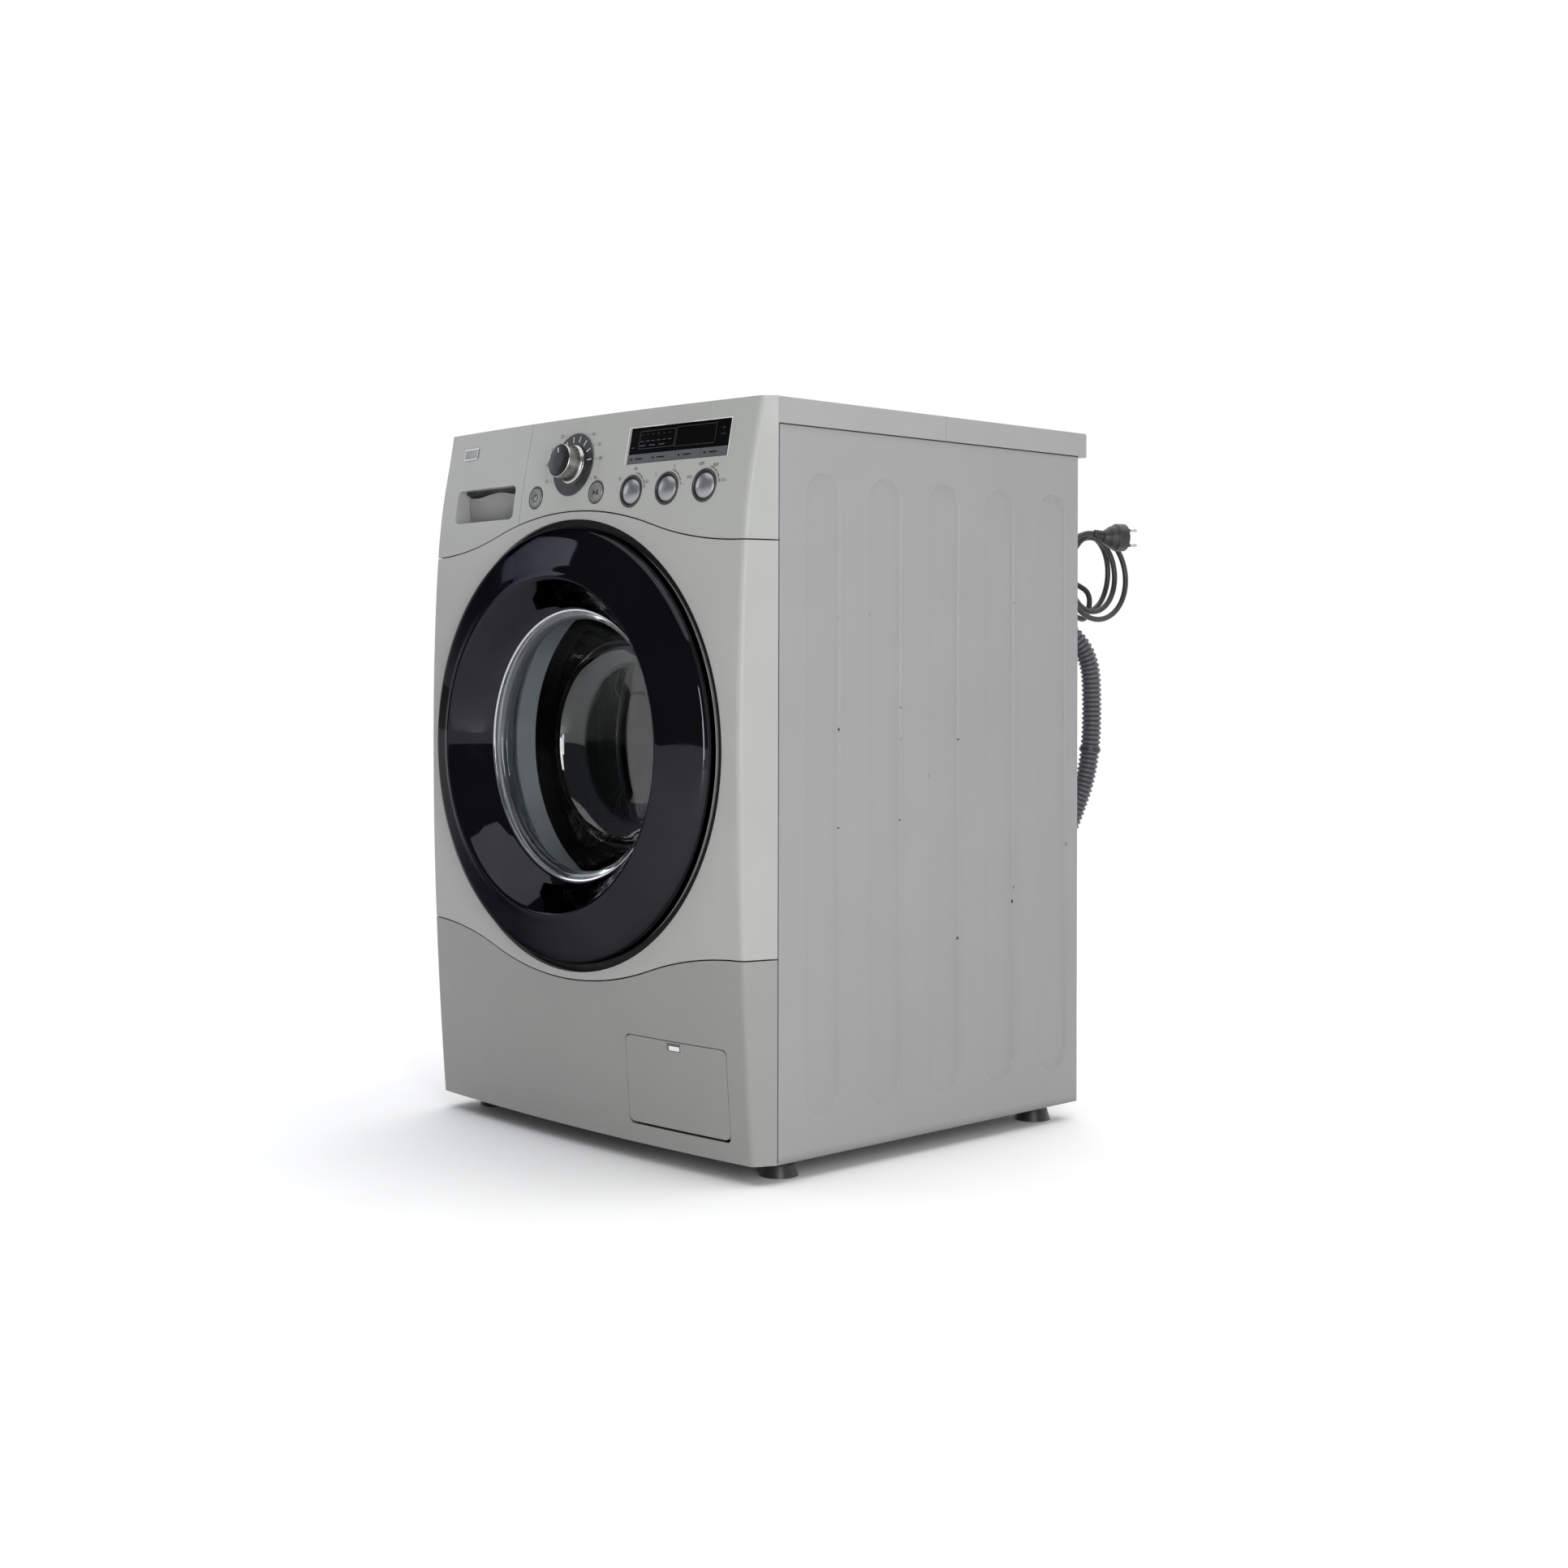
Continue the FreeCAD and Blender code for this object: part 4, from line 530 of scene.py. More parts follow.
def arc_band(x, z, inner, outer, start, end, steps=24):
    """An arc-shaped outline; angles in degrees from three o'clock, anticlockwise."""
    turns = [math.radians(start + (end - start) * k / steps) for k in range(steps + 1)]
    out = [(x + outer * math.cos(t), z + outer * math.sin(t)) for t in turns]
    back = [(x + inner * math.cos(t), z + inner * math.sin(t)) for t in reversed(turns)]
    return out + back


def bar(x, z, length, width, angle=0.0):
    c, s = math.cos(math.radians(angle)), math.sin(math.radians(angle))
    corners = [(-length / 2, -width / 2), (length / 2, -width / 2), (length / 2, width / 2),
               (-length / 2, width / 2)]
    return [(x + u * c - v * s, z + u * s + v * c) for u, v in corners]


def number_marks(name, labels, size, body, material, out=0.12):
    """Small numbers printed on the face: labels are (text, x, z), centred."""
    vertices, faces = [], []
    for text, x, z in labels:
        data = bpy.data.curves.new(name, "FONT")
        data.body = text
        data.align_x = "CENTER"
        data.align_y = "CENTER"
        data.size = size
        data.resolution_u = 3
        letters = add(bpy.data.objects.new(name, data))
        bpy.context.view_layer.update()
        mesh = bpy.data.meshes.new_from_object(letters)
        start = len(vertices)
        vertices += [on_face(x + v.co.x, z + v.co.y, out) for v in mesh.vertices]
        faces += [[start + i for i in p.vertices] for p in mesh.polygons]
        bpy.data.objects.remove(letters)
    piece = finish_mesh(name, vertices, faces, material, smooth=False)
    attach(piece, body)
    return piece


# ---------------------------------------------------------------- cords

HOSE_ROUTE = [
    (0.250, 0.306, 0.112), (0.250, 0.306, 0.152), (0.246, 0.306, 0.196), (0.243, 0.309, 0.246),
    (0.243, 0.314, 0.296), (0.248, 0.324, 0.340), (0.257, 0.337, 0.378), (0.266, 0.348, 0.420),
    (0.270, 0.353, 0.468), (0.270, 0.354, 0.520), (0.270, 0.351, 0.562), (0.262, 0.339, 0.592),
    (0.244, 0.320, 0.614), (0.226, 0.308, 0.640), (0.213, 0.305, 0.676), (0.206, 0.304, 0.716),
    (0.194, 0.304, 0.752), (0.170, 0.304, 0.776), (0.138, 0.304, 0.780), (0.108, 0.305, 0.762),
    (0.088, 0.305, 0.726), (0.083, 0.306, 0.678), (0.084, 0.306, 0.626), (0.087, 0.307, 0.572),
    (0.086, 0.307, 0.516), (0.082, 0.306, 0.460), (0.079, 0.306, 0.404), (0.080, 0.306, 0.348),
    (0.084, 0.307, 0.292), (0.086, 0.307, 0.240), (0.084, 0.308, 0.196),
]
CORD_ROUTE = [
    (0.150, 0.316, 0.700), (0.150, 0.334, 0.700), (0.156, 0.351, 0.697), (0.171, 0.367, 0.690),
    (0.191, 0.381, 0.680), (0.211, 0.393, 0.669), (0.230, 0.403, 0.655), (0.243, 0.409, 0.635),
]
COIL_CENTRE = Vector((0.244, 0.385, 0.678))
COIL_RADIUS = 0.058
COIL_TURNS = 3.4
COIL_STEPS = 15
COIL_START = math.radians(-6)
TAIL_ROUTE = [(0.256, 0.361, 0.732), (0.262, 0.370, 0.730)]
PLUG_FACE = Vector((0.268, 0.379, 0.726))
PLUG_HEADING = Vector((0.4, 0.9165, 0))
HOSE_RADIUS = 0.0125
HOSE_PITCH = 0.0060
HOSE_GROOVE = 0.0027
CORD_RADIUS = 0.0035


def coil_points():
    """Loose turns side by side, wider apart at the back than where they are gathered."""
    points = []
    for k in range(round(COIL_TURNS * COIL_STEPS) + 1):
        turn = k / COIL_STEPS
        angle = COIL_START + 2 * math.pi * turn
        place = math.radians(-180 + 60 * turn)
        spread = 0.0078 + 0.0075 * (0.5 + 0.5 * math.cos(angle - math.radians(300))) ** 2
        ring = COIL_RADIUS + spread * math.sin(place)
        side = spread * math.cos(place)
        points.append(COIL_CENTRE + Vector((side, -ring * math.sin(angle), -ring * math.cos(angle))))
    return points


def make_power_cord(looks):
    route = CORD_ROUTE[:-1] + coil_points() + TAIL_ROUTE
    cord = route_curve("power_lead", route, CORD_RADIUS)
    cord.data.materials.append(looks["rubber_black"])
    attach(cord, "cabinet")
    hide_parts("power_cord", "power_cord_coil")

    start = Vector(TAIL_ROUTE[-1])
    along = (PLUG_FACE + PLUG_HEADING * 0.006 - start).normalized()
    relief = [(3.6, -3), (5.0, -2)]
    for k in range(4):
        foot = -1 + 3.0 * k
        relief += [(5.6 + 0.35 * k, foot), (5.6 + 0.35 * k, foot + 1.9), (4.6 + 0.3 * k, foot + 2.1),
                   (4.6 + 0.3 * k, foot + 3.0)]
    relief += [(6.4, 14), (3.6, 14)]
    sleeve = lathe("plug_relief", relief, start, looks["rubber_black"], along, 32)
    body = lathe("plug_body", soften([
        (0, -2), (7.5, -2), (10.5, 4), (13.8, 9), (15.4, 14), (17.5, 16.5), (17.5, 29.2), (16.8, 30),
        (11, 30), (10, 28.6), (0, 28.6)], 1.2, closed=False), PLUG_FACE, looks["rubber_black"],
        PLUG_HEADING, 64, closed=False)
    pins = []
    for side in (-1, 1):
        foot = PLUG_FACE + Vector((0, 0, 9.5 * MM * side))
        pins.append(lathe("plug_pin", [(0, 28), (2.35, 28), (2.35, 38)], foot, looks["black_plastic"],
                          PLUG_HEADING, 24, closed=False))
        pins.append(lathe("plug_pin_tip", [(0, 38), (2.0, 38), (2.0, 46.5), (1.2, 48.3), (0, 48.6)],
                          foot, looks["bright_trim"], PLUG_HEADING, 24, closed=False))
    for piece in [sleeve, body, *pins]:
        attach(piece, "cabinet")
    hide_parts("power_plug")
    cord_length(route)


def cord_length(route):
    line = spline_line("measure", route)
    return sum((b - a).length for a, b in zip(line, line[1:]))


def make_drain_hose(looks):
    line = evenly(spline_line("hose_line", HOSE_ROUTE), HOSE_PITCH / 10)

    def radius_at(along):
        wave = 0.5 + 0.5 * math.cos(2 * math.pi * along / HOSE_PITCH)
        return HOSE_RADIUS - HOSE_GROOVE * (1 - wave**0.45)

    hose = sweep("corrugated_hose", line, radius_at, 22, looks["hose"])
    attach(hose, "cabinet")
    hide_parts("drain_hose")
    path = evenly(line, 0.006)
    tie_place = min(line, key=lambda p: abs(p.z - 0.455) + (0 if p.x > 0.2 else 1))
    tie = lathe("hose_tie", soften([(12.3, -2), (13.6, -2), (13.6, 2), (12.3, 2)], 0.4), tie_place,
                looks["rubber_black"], (0, 0.12, 1), 40)
    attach(tie, "cabinet")


# ---------------------------------------------------------------- cabinet

RIB_WIDTH, RIB_PITCH, RIB_START, RIB_COUNT = 53.4, 98.4, 41.7, 5
RIB_LOW, RIB_HIGH, RIB_DEPTH, RIB_SLOPE = 65, 771, 2.9, 3.2
SIDE_BACK = (wrap_high[1] - SEAM_Y) / MM
SIDE_LOW = wrap_low[2] / MM
SIDE_HIGH = wrap_high[2] / MM


def seam(x, y, z):
    """A point given in millimetres from the seam between the bowed front and the sides."""
    return Vector((x * MM, SEAM_Y + y * MM, z * MM))


def ease(t):
    t = min(max(t, 0), 1)
    return t * t * (3 - 2 * t)


def rib_sink(y, z):
    reach = RIB_WIDTH / 2
    beyond = max(RIB_LOW + reach - z, 0, z - (RIB_HIGH - reach))
    for i in range(RIB_COUNT):
        middle = RIB_START + i * RIB_PITCH + reach
        inside = reach - math.hypot(y - middle, beyond)
        if inside > 0:
            return RIB_DEPTH * ease(inside / RIB_SLOPE)
    return 0


def frange(start, stop, step):
    count = max(1, round((stop - start) / step))
    return [start + (stop - start) * k / count for k in range(count + 1)]


def grid_mesh(name, rows, material, thick=None, sharp=40):
    """A sheet through rows of points."""
    vertices = [p for row in rows for p in row]
    wide = len(rows[0])
    faces = [(i * wide + k, i * wide + k + 1, (i + 1) * wide + k + 1, (i + 1) * wide + k)
             for i in range(len(rows) - 1) for k in range(wide - 1)]
    piece = finish_mesh(name, vertices, faces, material, sharp)
    if thick:
        solid = piece.modifiers.new("steel", "SOLIDIFY")
        solid.thickness = thick
        solid.offset = -1
    return piece


def make_cabinet(looks):
    reach = RIB_WIDTH / 2
    fold = 2.2
    ys = [4.0]
    for i in range(RIB_COUNT):
        start = RIB_START + i * RIB_PITCH
        ys += frange(ys[-1] + 12, start - 1, 16) + frange(start, start + RIB_WIDTH, 1.0)
    ys += frange(RIB_START + RIB_COUNT * RIB_PITCH - 40, SIDE_BACK - 4, 12)
    ys = sorted(set(round(y, 3) for y in ys))
    zs = frange(SIDE_LOW, RIB_LOW - 1, 12) + frange(RIB_LOW, RIB_LOW + reach + 1, 1.0)
    zs += frange(RIB_LOW + reach + 8, RIB_HIGH - reach - 8, 30)
    zs += frange(RIB_HIGH - reach - 1, RIB_HIGH, 1.0) + frange(RIB_HIGH + 6, SIDE_HIGH, 12)
    half = HALF_WIDTH / MM
    turns = [math.radians(15 * k) for k in range(7)]
    front = [(half - 14, 0), (half - 8, 0)]
    front += [(half - fold + fold * math.sin(t), fold - fold * math.cos(t)) for t in turns]
    back = [(half - fold + fold * math.cos(t), SIDE_BACK - fold + fold * math.sin(t)) for t in turns]
    back += [(half - 10, SIDE_BACK), (half - 22, SIDE_BACK)]
    sides = []
    for side in (-1, 1):
        rows = []
        for z in zs:
            row = [seam(side * x, y, z) for x, y in front]
            row += [seam(side * (half - rib_sink(y, z)), y, z) for y in ys]
            row += [seam(side * x, y, z) for x, y in back]
            rows.append(row if side > 0 else row[::-1])
        sides.append(grid_mesh("cabinet_side", rows, looks["enamel"], 0.0011))
    for piece in sides:
        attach(piece, "cabinet")
    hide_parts("cabinet_wrap")
    make_side_marks(looks)


def make_side_marks(looks):
    """Small knocks in the paint, most of them along the edges of the ribs."""
    random.seed(11)
    places = []
    for i in range(RIB_COUNT):
        start = RIB_START + i * RIB_PITCH
        for edge in (start + 1.5, start + RIB_WIDTH - 1.5):
            for _ in range(random.choice((1, 2, 3))):
                places.append((edge + random.uniform(-1.2, 1.2), random.uniform(90, 740)))
    shapes = []
    for y, z in places:
        tall, wide = random.uniform(0.8, 3.2), random.uniform(0.4, 1.2)
        lean = random.uniform(-0.8, 0.8)
        shapes.append([(y - wide, z), (y - 0.2, z - tall), (y + wide + lean, z - 0.3),
                       (y + 0.3 * wide + lean, z + tall)])
    half = HALF_WIDTH / MM

    def on_side(y, z):
        return seam(half - rib_sink(y, z) + 0.06, y, z)

    print_shapes("paint_chips", shapes, "cabinet", looks["dark_marks_and_painted_shade"], at=on_side)


def make_gap_shade_sheets(looks):
    """Painted shade: dark sheets laid in the gaps where the front, the sides and the top trim meet, and
    round the door.
    """
    half = HALF_WIDTH / MM
    strips = []
    for side in (-1, 1):
        # Painted shade: dark strips in the corner gaps and under the top trim.
        line = [(side * (half - 0.9), -0.25), (side * (half + 0.05), 1.15)]
        vertices = [seam(x, y, z) for x, y in line for z in (SIDE_LOW + 2, SIDE_HIGH)]
        strips.append(finish_mesh("corner_gap_painted_shade", vertices, [(0, 1, 3, 2)], looks["dark_marks_and_painted_shade"]))
        edge = [seam(side * (half + 0.08), y, z) for y in (1, SIDE_BACK - 1)
                for z in (SIDE_HIGH - 0.9, SIDE_HIGH + 0.5)]
        strips.append(finish_mesh("trim_gap_painted_shade", edge, [(0, 1, 3, 2)], looks["dark_marks_and_painted_shade"]))
    # Painted shade: a dark ring laid in the door's trough so that it reads as shade.
    strips.append(lathe("door_gap_painted_shade", [(250, -40.6), (261.85, -40.6), (261.85, -45.2),
                        (261.5, -45.2), (261.5, -41), (250, -41)], door_centre(), looks["dark_marks_and_painted_shade"],
                        steps=200))
    for piece in strips:
        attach(piece, "cabinet")


def make_rear_cover(looks):
    """Stamped rear sheet: a raised disc round the motor and two shallow fields."""
    low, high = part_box("rear_cover")
    half = high[0] / MM
    back = (high[1] - SEAM_Y) / MM
    centre = DOOR_Z / MM

    def stamp(x, z):
        disc = ease((205 - math.hypot(x, z - centre)) / 14) * 3.4
        dish = ease((150 - math.hypot(x, z - centre)) / 10) * -2.6
        field = ease((225 - abs(x)) / 8) * ease((90 - abs(z - 150)) / 8) * 2.2
        return max(disc, 0) + dish + field

    rows = []
    for z in frange(low[2] / MM, high[2] / MM, 4):
        rows.append([seam(x, back - 0.2 - stamp(x, z), z) for x in frange(-half, half, 4)])
    cover = grid_mesh("rear_sheet", rows, looks["galvanised"], 0.0010)
    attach(cover, "cabinet")
    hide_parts("rear_cover")


# ---------------------------------------------------------------- door, boot and drum

def door_centre():
    return seam(0, 0, DOOR_Z / MM)


def make_door(looks):
    centre = door_centre()
    front, rim, crest, sight = -86, 253, 192, 157
    outline = [
        (rim, -47), (rim, -57), (rim - 2.5, -63.5), (rim - 11, -68.2), (225, -74.4), (208, -80.6),
        (crest + 7, front + 1.4), (crest + 2.5, front), (crest - 0.5, front + 2.2),
        (crest - 12, -69.5), (sight + 9, -50.5), (sight + 3, -44.5), (sight, -43), (sight, -42.4),
        (sight + 4.5, -42.4), (crest + 2, front + 4.5), (crest + 6, front + 4.2),
        (rim - 13.5, -65.2), (rim - 5.5, -61), (rim - 3, -57), (rim - 3, -47)]
    # The ring's chrome is dark in colour, a painted reflection of dark surroundings.
    ring = lathe("door_ring", soften(outline, 5, steps=6), centre, looks["chrome_with_painted_dark_reflection"], steps=256,
                 sharp=60)
    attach(ring, "door")
    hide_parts("door_outer_ring")
    lip = lathe("door_ring_bead", soften([(sight - 1.2, -43.6), (sight + 1.2, -44.8),
                (sight + 2.6, -43.4), (sight + 0.4, -41.6), (sight - 1.0, -42.0)], 0.6), centre,
                looks["bright_trim"], steps=256)
    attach(lip, "door")
    seal = lathe("door_ring_back", soften([(rim - 0.6, -46.6), (rim - 0.6, -48), (rim - 3.4, -48),
                 (rim - 3.4, -46.6)], 0.4), centre, looks["black_plastic"], steps=200)
    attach(seal, "door")

    bowl, deep, thick = 153, 58, 4
    outer = [(0, deep), (70, deep - 0.3), (bowl - 50, deep - 2), (bowl - 31, deep - 9),
             (bowl - 20, deep - 22), (bowl - 13, 8), (bowl - 2, -34), (165, -37), (165, -41.4),
             (bowl - 3.4, -41.6)]
    inner = [(bowl - 17, 6), (bowl - 24.5, deep - 24.5), (bowl - 35, deep - 12.6),
             (bowl - 52, deep - 6), (70, deep - thick), (0, deep - thick)]
    glass_bowl = lathe("door_bowl", soften(outer + inner, 9, closed=False, steps=6), centre,
                       looks["glass"], steps=200, closed=False, sharp=50)
    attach(glass_bowl, "door")
    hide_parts("door_glass")
    for name, radius, depth in (("frame_band", 166, -38), ("frame_band_inner", 160.5, -36.9)):
        band = lathe(name, soften([(radius, depth - 1.4), (radius + 3, depth - 1.4),
                     (radius + 3, depth + 1), (radius, depth + 1)], 0.5), centre,
                     looks["black_plastic"], steps=160)
        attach(band, "door")


def make_boot(looks):
    """The folded rubber boot between the cabinet's opening and the tub's neck."""
    neck = 176 + 4 + 0.2
    path = [(155.5, -19), (159, -20.6), (168, -22), (174.6, -21.6), (174.8, -16), (175.2, -12),
            (180, -10.4), (188, -9.4), (190.6, -7.6), (190, -4.6), (186, -2.6), (neck + 1.4, -1),
            (neck + 1.4, 13.6)]
    half = 1.25
    sides = [[], []]
    for i, point in enumerate(path):
        before = Vector(path[max(i - 1, 0)])
        after = Vector(path[min(i + 1, len(path) - 1)])
        along = (after - before).normalized()
        square = Vector((-along.y, along.x))
        for side, sign in zip(sides, (1, -1)):
            side.append(Vector(point) + square * half * sign)
    boot = lathe("door_boot", sides[0] + sides[1][::-1], door_centre(), looks["rubber_grey"],
                 steps=200, sharp=60)
    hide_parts("door_gasket")
    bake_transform(boot)


def drum_steel():
    """Brushed stainless with rows of round holes, placed by angle and depth."""
    s = Shader("drum_steel")
    split = s.node("ShaderNodeSeparateXYZ")
    s.link(s.coords.outputs["Object"], split.inputs[0])
    lift = s.tree.nodes.new("ShaderNodeMath")
    lift.operation = "SUBTRACT"
    lift.inputs[1].default_value = DOOR_Z
    s.link(split.outputs["Z"], lift.inputs[0])

    def maths(kind, first, second=None):
        made = s.tree.nodes.new("ShaderNodeMath")
        made.operation = kind
        for socket, value in zip(made.inputs, (first, second)):
            if value is None:
                continue
            if isinstance(value, (int, float)):
                socket.default_value = value
            else:
                s.link(value, socket)
        return made.outputs[0]

    pitch = 0.0135
    around = maths("MULTIPLY", maths("ARCTAN2", split.outputs["X"], lift.outputs[0]), 0.244)
    row = maths("DIVIDE", split.outputs["Y"], pitch * 0.866)
    odd = maths("MULTIPLY", maths("MODULO", maths("FLOOR", row), 2), 0.5)
    across = maths("FRACT", maths("ADD", maths("DIVIDE", around, pitch), odd))
    u = maths("SUBTRACT", across, 0.5)
    v = maths("MULTIPLY", maths("SUBTRACT", maths("FRACT", row), 0.5), 0.866)
    away = maths("SQRT", maths("ADD", maths("MULTIPLY", u, u), maths("MULTIPLY", v, v)))
    out = maths("SQRT", maths("ADD", maths("MULTIPLY", split.outputs["X"], split.outputs["X"]),
                              maths("MULTIPLY", lift.outputs[0], lift.outputs[0])))
    on_wall = s.range(out, 0.234, 0.239, 0, 1)
    hole = maths("MULTIPLY", s.range(away, 0.19, 0.22, 1, 0), on_wall)
    lines = s.noise(22, 2)
    # Painted shade: the steel is coloured dark and the holes near black, standing in for the dim inside
    # of the closed drum.
    steel = s.mix(s.range(lines, 0.3, 0.7, 0, 1), (0.085, 0.085, 0.09), (0.11, 0.11, 0.115))
    s.link(s.mix(hole, steel, (0.004, 0.004, 0.004)), s.base.inputs["Base Color"])
    s.link(s.range(hole, 0, 1, 1.0, 0.0), s.base.inputs["Metallic"])
    s.link(s.range(lines, 0.3, 0.7, 0.16, 0.22), s.base.inputs["Roughness"])
    s.bump(maths("SUBTRACT", 1, hole), 0.4, 0.0008)
    return s.material


def make_drum():
    radius, front, back, mouth, wall = 244, 45, 372, 165, 1.2
    shell = [(mouth, front + 6), (mouth, front), (radius - 8, front), (radius, front + 8),
             (radius, back - 6), (radius - 6, back), (30, back), (30, back - wall),
             (radius - 6.5, back - wall), (radius - wall, back - 6.5), (radius - wall, front + 8.5),
             (radius - 8.5, front + wall), (mouth + wall, front + wall), (mouth + wall, front + 6)]
    drum = lathe("drum_shell", shell, door_centre(), drum_steel(), steps=180, sharp=40)
    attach(drum, "drum_unit")
    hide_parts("drum")


# ---------------------------------------------------------------- console

DIAL = (-9, 794)
POWER, START = (-74.3, 758.6), (41, 758.6)
DOMES = [(103 + 59 * i, 756) for i in range(3)]


def turned_on_face(name, profile, x, z, material, steps=96):
    return lathe(name, profile, on_face(x, z), material, face_inward(x, z), steps, closed=False)


def make_knob(looks):
    x, z = DIAL
    metal = turned_on_face("knob_side", soften([
        (22.6, -0.9), (23.2, -2.4), (21.2, -4.2), (20.6, -6), (20.1, -18.6), (19.9, -20.8),
        (19.2, -21.6), (18.8, -20.4)], 0.6, closed=False), x, z, looks["knob_metal"])
    cap = turned_on_face("knob_cap", soften([(19.0, -20.2), (18.4, -21.2), (9, -21.9), (0, -22)], 1.2,
                         closed=False), x, z, looks["knob_cap"])
    foot = turned_on_face("knob_foot", [(23.4, -0.5), (23.4, -1.4), (20, -1.6), (4.2, -1.6),
                          (4.2, 14)], x, z, looks["black_plastic"])
    for piece in (metal, cap, foot):
        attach(piece, "program_dial")
    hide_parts("program_knob")
    line = face_inward(x, z)
    marker = finish_mesh("knob_mark", [on_face(x, z) - line * 0.0219 + Vector(p) for p in
                         ((-0.0006, 0, 0.009), (0.0006, 0, 0.009), (0.0006, 0, 0.0145),
                          (-0.0006, 0, 0.0145))], [(0, 1, 2, 3)], looks["print_white"], smooth=False)
    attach(marker, "program_dial")

    print_shapes("dial_ring", [arc_band(x, z, 23.5, 36.5, 0, 180, 48),
                 arc_band(x, z, 23.5, 36.5, 180, 360, 48)], "cabinet", looks["dial_dark"], 0.25)
    edge = [arc_band(x, z, 36.4, 37.3, 0, 180, 48), arc_band(x, z, 36.4, 37.3, 180, 360, 48)]
    print_shapes("dial_edge", edge, "cabinet", looks["grey_print_and_painted_shade"], 0.2)
    ticks = []
    for turn in range(8, 173, 23):
        angle = math.radians(turn)
        ticks.append(bar(x + 30 * math.cos(angle), z + 30 * math.sin(angle), 7.5, 1.0, turn))
    print_shapes("dial_ticks", ticks, "cabinet", looks["print_white"], 0.42)
    lower = []
    for turn in (-15, -38, -62):
        angle = math.radians(turn)
        lower.append(bar(x + 31 * math.cos(angle), z + 31 * math.sin(angle), 5, 1.0, turn))
    print_shapes("dial_ticks_lower", lower, "cabinet", looks["dark_marks_and_painted_shade"], 0.42)


def make_buttons(looks):
    for place, node, body in ((POWER, "power_button", "power_key"),
                              (START, "start_button", "start_key")):
        cap = turned_on_face(node + "_cap", soften([
            (0, -0.6), (7, -0.9), (9.2, -1.5), (10.6, -1.3), (11.7, 0.2), (11.8, 7), (13.6, 7.4)], 0.7,
            closed=False), *place, looks["silver"])
        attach(cap, body)
        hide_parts(node)
        bezel = turned_on_face(node + "_bezel", soften([
            (12.3, 2.4), (12.25, 0.2), (12.7, -0.5), (13.5, -0.55), (14.2, -0.02), (14.2, 0.6)], 0.3,
            closed=False), *place, looks["black_plastic"])
        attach(bezel, "cabinet")
    x, z = POWER
    print_shapes("power_icon", [arc_band(x, z, 4.0, 5.0, 115, 425, 30), bar(x, z + 3.2, 1.0, 5.4)],
                 "power_key", looks["dark_marks_and_painted_shade"], 1.05)
    x, z = START
    play = [(x - 4.6, z - 3.2), (x - 0.4, z), (x - 4.6, z + 3.2)]
    print_shapes("start_icon", [play, bar(x + 1.8, z, 1.2, 6.4), bar(x + 4.6, z, 1.2, 6.4)],
                 "start_key", looks["dark_marks_and_painted_shade"], 1.05)

    for (x, z), side in zip(DOMES, ("left", "middle", "right")):
        dome = turned_on_face(f"selector_dome_{side}", soften([
            (0, -4.7), (5, -4.4), (9.5, -3.1), (13, -1.2), (14.9, 0.6), (15.2, 2.2), (17.1, 2.4),
            (17.1, 7)], 1.6, closed=False), x, z, looks["dome_silver"])
        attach(dome, f"selector_{side}")
        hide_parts(f"selector_button_{side}")
        bezel = turned_on_face(f"selector_bezel_{side}", soften([
            (15.5, 2.2), (15.6, -0.4), (16.4, -1.5), (17.6, -1.5), (18.8, -0.4), (19.2, 0.5)], 0.5,
            closed=False), x, z, looks["black_plastic"])
        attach(bezel, "cabinet")


def make_prints(looks):
    """Scales and numbers that name no maker and no programme."""
    arcs, numbers, bars = [], [], []
    for (x, z), labels in zip(DOMES, (("20", "30", "40", "60", "95"), ("1", "2", "3", "4"),
                                      ("0", "400", "600", "800", "1000", "1400"))):
        arcs.append(arc_band(x, z, 21.2, 21.8, -38, 75))
        for k in range(6):
            turn = -30 + 17 * k
            wide = 0.5 + 0.24 * (5 - k)
            arcs.append(arc_band(x, z, 22.0, 22.0 + wide, turn, turn + 11, 6))
        count = len(labels)
        for i, label in enumerate(labels):
            angle = math.radians(205 - (245 if count > 4 else 200) * i / (count - 1))
            numbers.append((label, x + 27 * math.cos(angle), z + 25.5 * math.sin(angle)))
    x, z = DIAL
    for turn in (118, 148, 176, 205, 60, 32, 6, -28):
        angle = math.radians(turn)
        reach = 39 if turn < 90 else 40
        px, pz = x + reach * math.cos(angle), z + reach * math.sin(angle)
        lean = 1 if math.cos(angle) > 0 else -1
        bars.append(bar(px + lean * 3, pz, 5.0, 0.35))
        numbers.append((str(10 * (1 + len(bars))), px + lean * 11, pz))
    print_shapes("console_scales", arcs, "cabinet", looks["grey_print_and_painted_shade"])
    print_shapes("console_lines", bars, "cabinet", looks["grey_print_and_painted_shade"])
    number_marks("console_numbers", numbers, 5.4, "cabinet", looks["grey_print_and_painted_shade"])
    small = [bar(DOMES[0][0] + 24, 733, 6, 0.5), bar(DOMES[0][0] + 24, 730.6, 8, 1.2),
             bar(DOMES[1][0] + 26, 732, 3, 2.2), bar(DOMES[1][0] + 31, 732, 2, 0.6)]
    print_shapes("console_icons", small, "cabinet", looks["grey_print_and_painted_shade"])


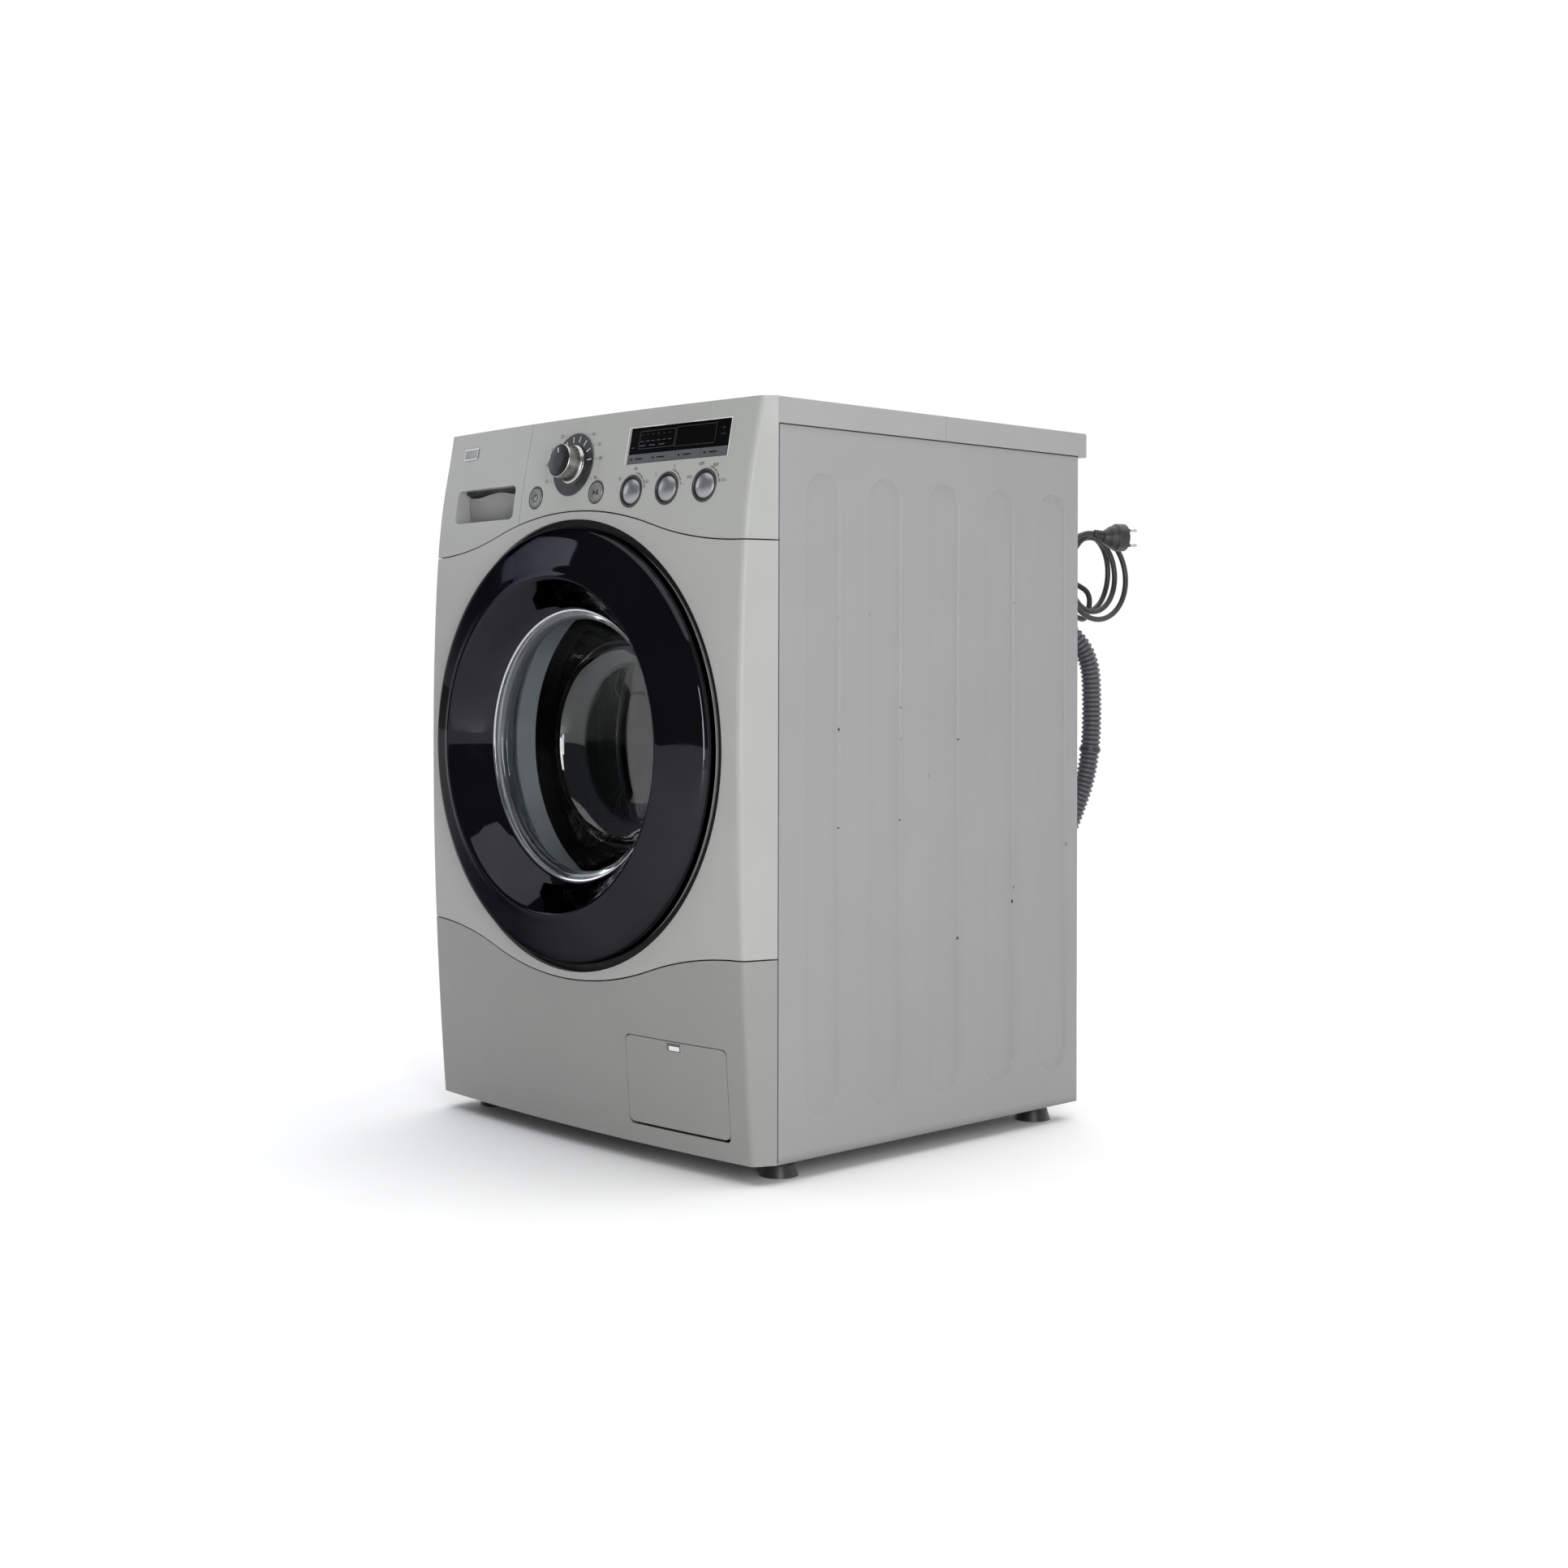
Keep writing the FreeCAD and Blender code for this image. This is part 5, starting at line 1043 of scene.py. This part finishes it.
def make_display(looks):
    sunk = -2.0 + 0.08
    left, right, low, high = 87.4, 249.6, 799.8, 828.6
    frames = []
    for x0, x1, z0, z1 in ((104, 162, 804, 824), (164, 226, 803, 825)):
        frames += [bar((x0 + x1) / 2, z0, x1 - x0, 0.5), bar((x0 + x1) / 2, z1, x1 - x0, 0.5),
                   bar(x0, (z0 + z1) / 2, 0.5, z1 - z0), bar(x1, (z0 + z1) / 2, 0.5, z1 - z0)]
    for k in range(6):
        frames.append(bar(108 + 9 * k, 820, 3.2, 0.6))
        frames.append(bar(109 + 9 * k, 812.5, 6, 0.9))
    for k, x in enumerate((110, 126, 142)):
        frames.append(bar(x, 807.5, 10, 1.3))
    frames += [bar(94, 806, 5, 1.0), bar(238, 812, 6, 1.0), bar(238, 819, 2, 2)]
    print_shapes("display_outlines", frames, "cabinet", looks["display_ghost"], sunk)

    # Painted highlight: bright lines along the top and both sides of the sunk display window's edge.
    edge = 0.55
    rim = [bar((left + right) / 2, high + edge, right - left + 3, 0.8),
           bar(left - 0.9, 808, 0.8, 43), bar(right + 0.9, 808, 0.8, 43)]
    print_shapes("display_rim_painted_highlight", rim, "cabinet", looks["painted_highlight_white"], 0.1)

    edges = (87.9, 124.5, 166.5, 207, 249.1)
    for i, (start, end) in enumerate(zip(edges, edges[1:]), start=1):
        dot = arc_band(start + 6.5, 792.8, 0.05, 1.2, 0, 359, 14)
        marks = [dot, bar(start + 19, 792.8, 12, 1.1)]
        print_shapes(f"option_mark_{i}", marks, f"option_key_{i}", looks["display"], -1.4 + 0.15)


def make_drawer_marks(looks):
    """The dark wavy lip inside the finger recess, and a plain plate above it."""
    left, right = -248.6, -120.4
    top, bottom = 776.4, 737
    middle = (left + right) / 2
    floor_out = proud(middle, top + 0.6) - 24 + 0.5

    def inside(x, z):
        return seam(x, -floor_out, z)

    def wave(x):
        return top - 5.4 - 2.4 * math.sin((x - left) / (right - left) * 2 * math.pi * 1.35 + 0.6)

    xs = frange(left, right, 3)
    rows = []
    for share in frange(0, 1, 0.1):
        rows.append([seam(x, -floor_out - 9.5 * math.sin(share * math.pi / 2),
                          wave(x) + (top - wave(x)) * share) for x in xs])
    lip = grid_mesh("recess_lip", rows, looks["dial_dark"])
    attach(lip, "drawer")
    rows = []
    for share in frange(0, 1, 0.1):
        lift = 5.5 * (1 - math.cos(share * math.pi / 2))
        rows.append([seam(x, -floor_out - 3.4 + lift * 0.5, bottom + (wave(x) - bottom) * (1 - share)
                          ) for x in xs])
    pan = grid_mesh("recess_pan", rows, looks["recess_grey"])
    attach(pan, "drawer")

    plate = [(-249, 816), (-218, 816), (-218, 830), (-249, 830)]
    print_shapes("drawer_plate", [plate], "drawer", looks["plate_silver"], 0.35)
    field = [(-247.6, 817.4), (-219.4, 817.4), (-219.4, 828.6), (-247.6, 828.6)]
    print_shapes("drawer_plate_field", [field], "drawer", looks["silver"], 0.5)


def make_hatch_tab(looks):
    # Painted light: a dark patch paints the shade of the tab's recess and a bright patch paints its lit
    # lip.
    frame_low, frame_high = 133.5, 142.5
    x0, x1 = 167.5, 188.5
    print_shapes("hatch_tab_recess_painted_shade", [[(x0, frame_low), (x1, frame_low), (x1, frame_high),
                 (x0, frame_high)]], "hatch", looks["grey_print_and_painted_shade"], 0.12)
    print_shapes("hatch_tab_lip_painted_highlight", [[(x0 + 3, frame_low + 1), (x1 - 1.5, frame_low + 1),
                 (x1 - 1.5, frame_high - 3.2), (x0 + 3, frame_high - 3.2)]], "hatch",
                 looks["painted_highlight_white"], 0.25)


# ---------------------------------------------------------------- build

make_camera()
looks = make_materials()
make_power_cord(looks)
make_drain_hose(looks)
make_lights()
make_floor()
dress_nodes(looks)
make_cabinet(looks)
make_gap_shade_sheets(looks)
make_rear_cover(looks)
make_door(looks)
make_boot(looks)
make_drum()
make_knob(looks)
make_buttons(looks)
make_prints(looks)
make_display(looks)
make_drawer_marks(looks)
make_hatch_tab(looks)
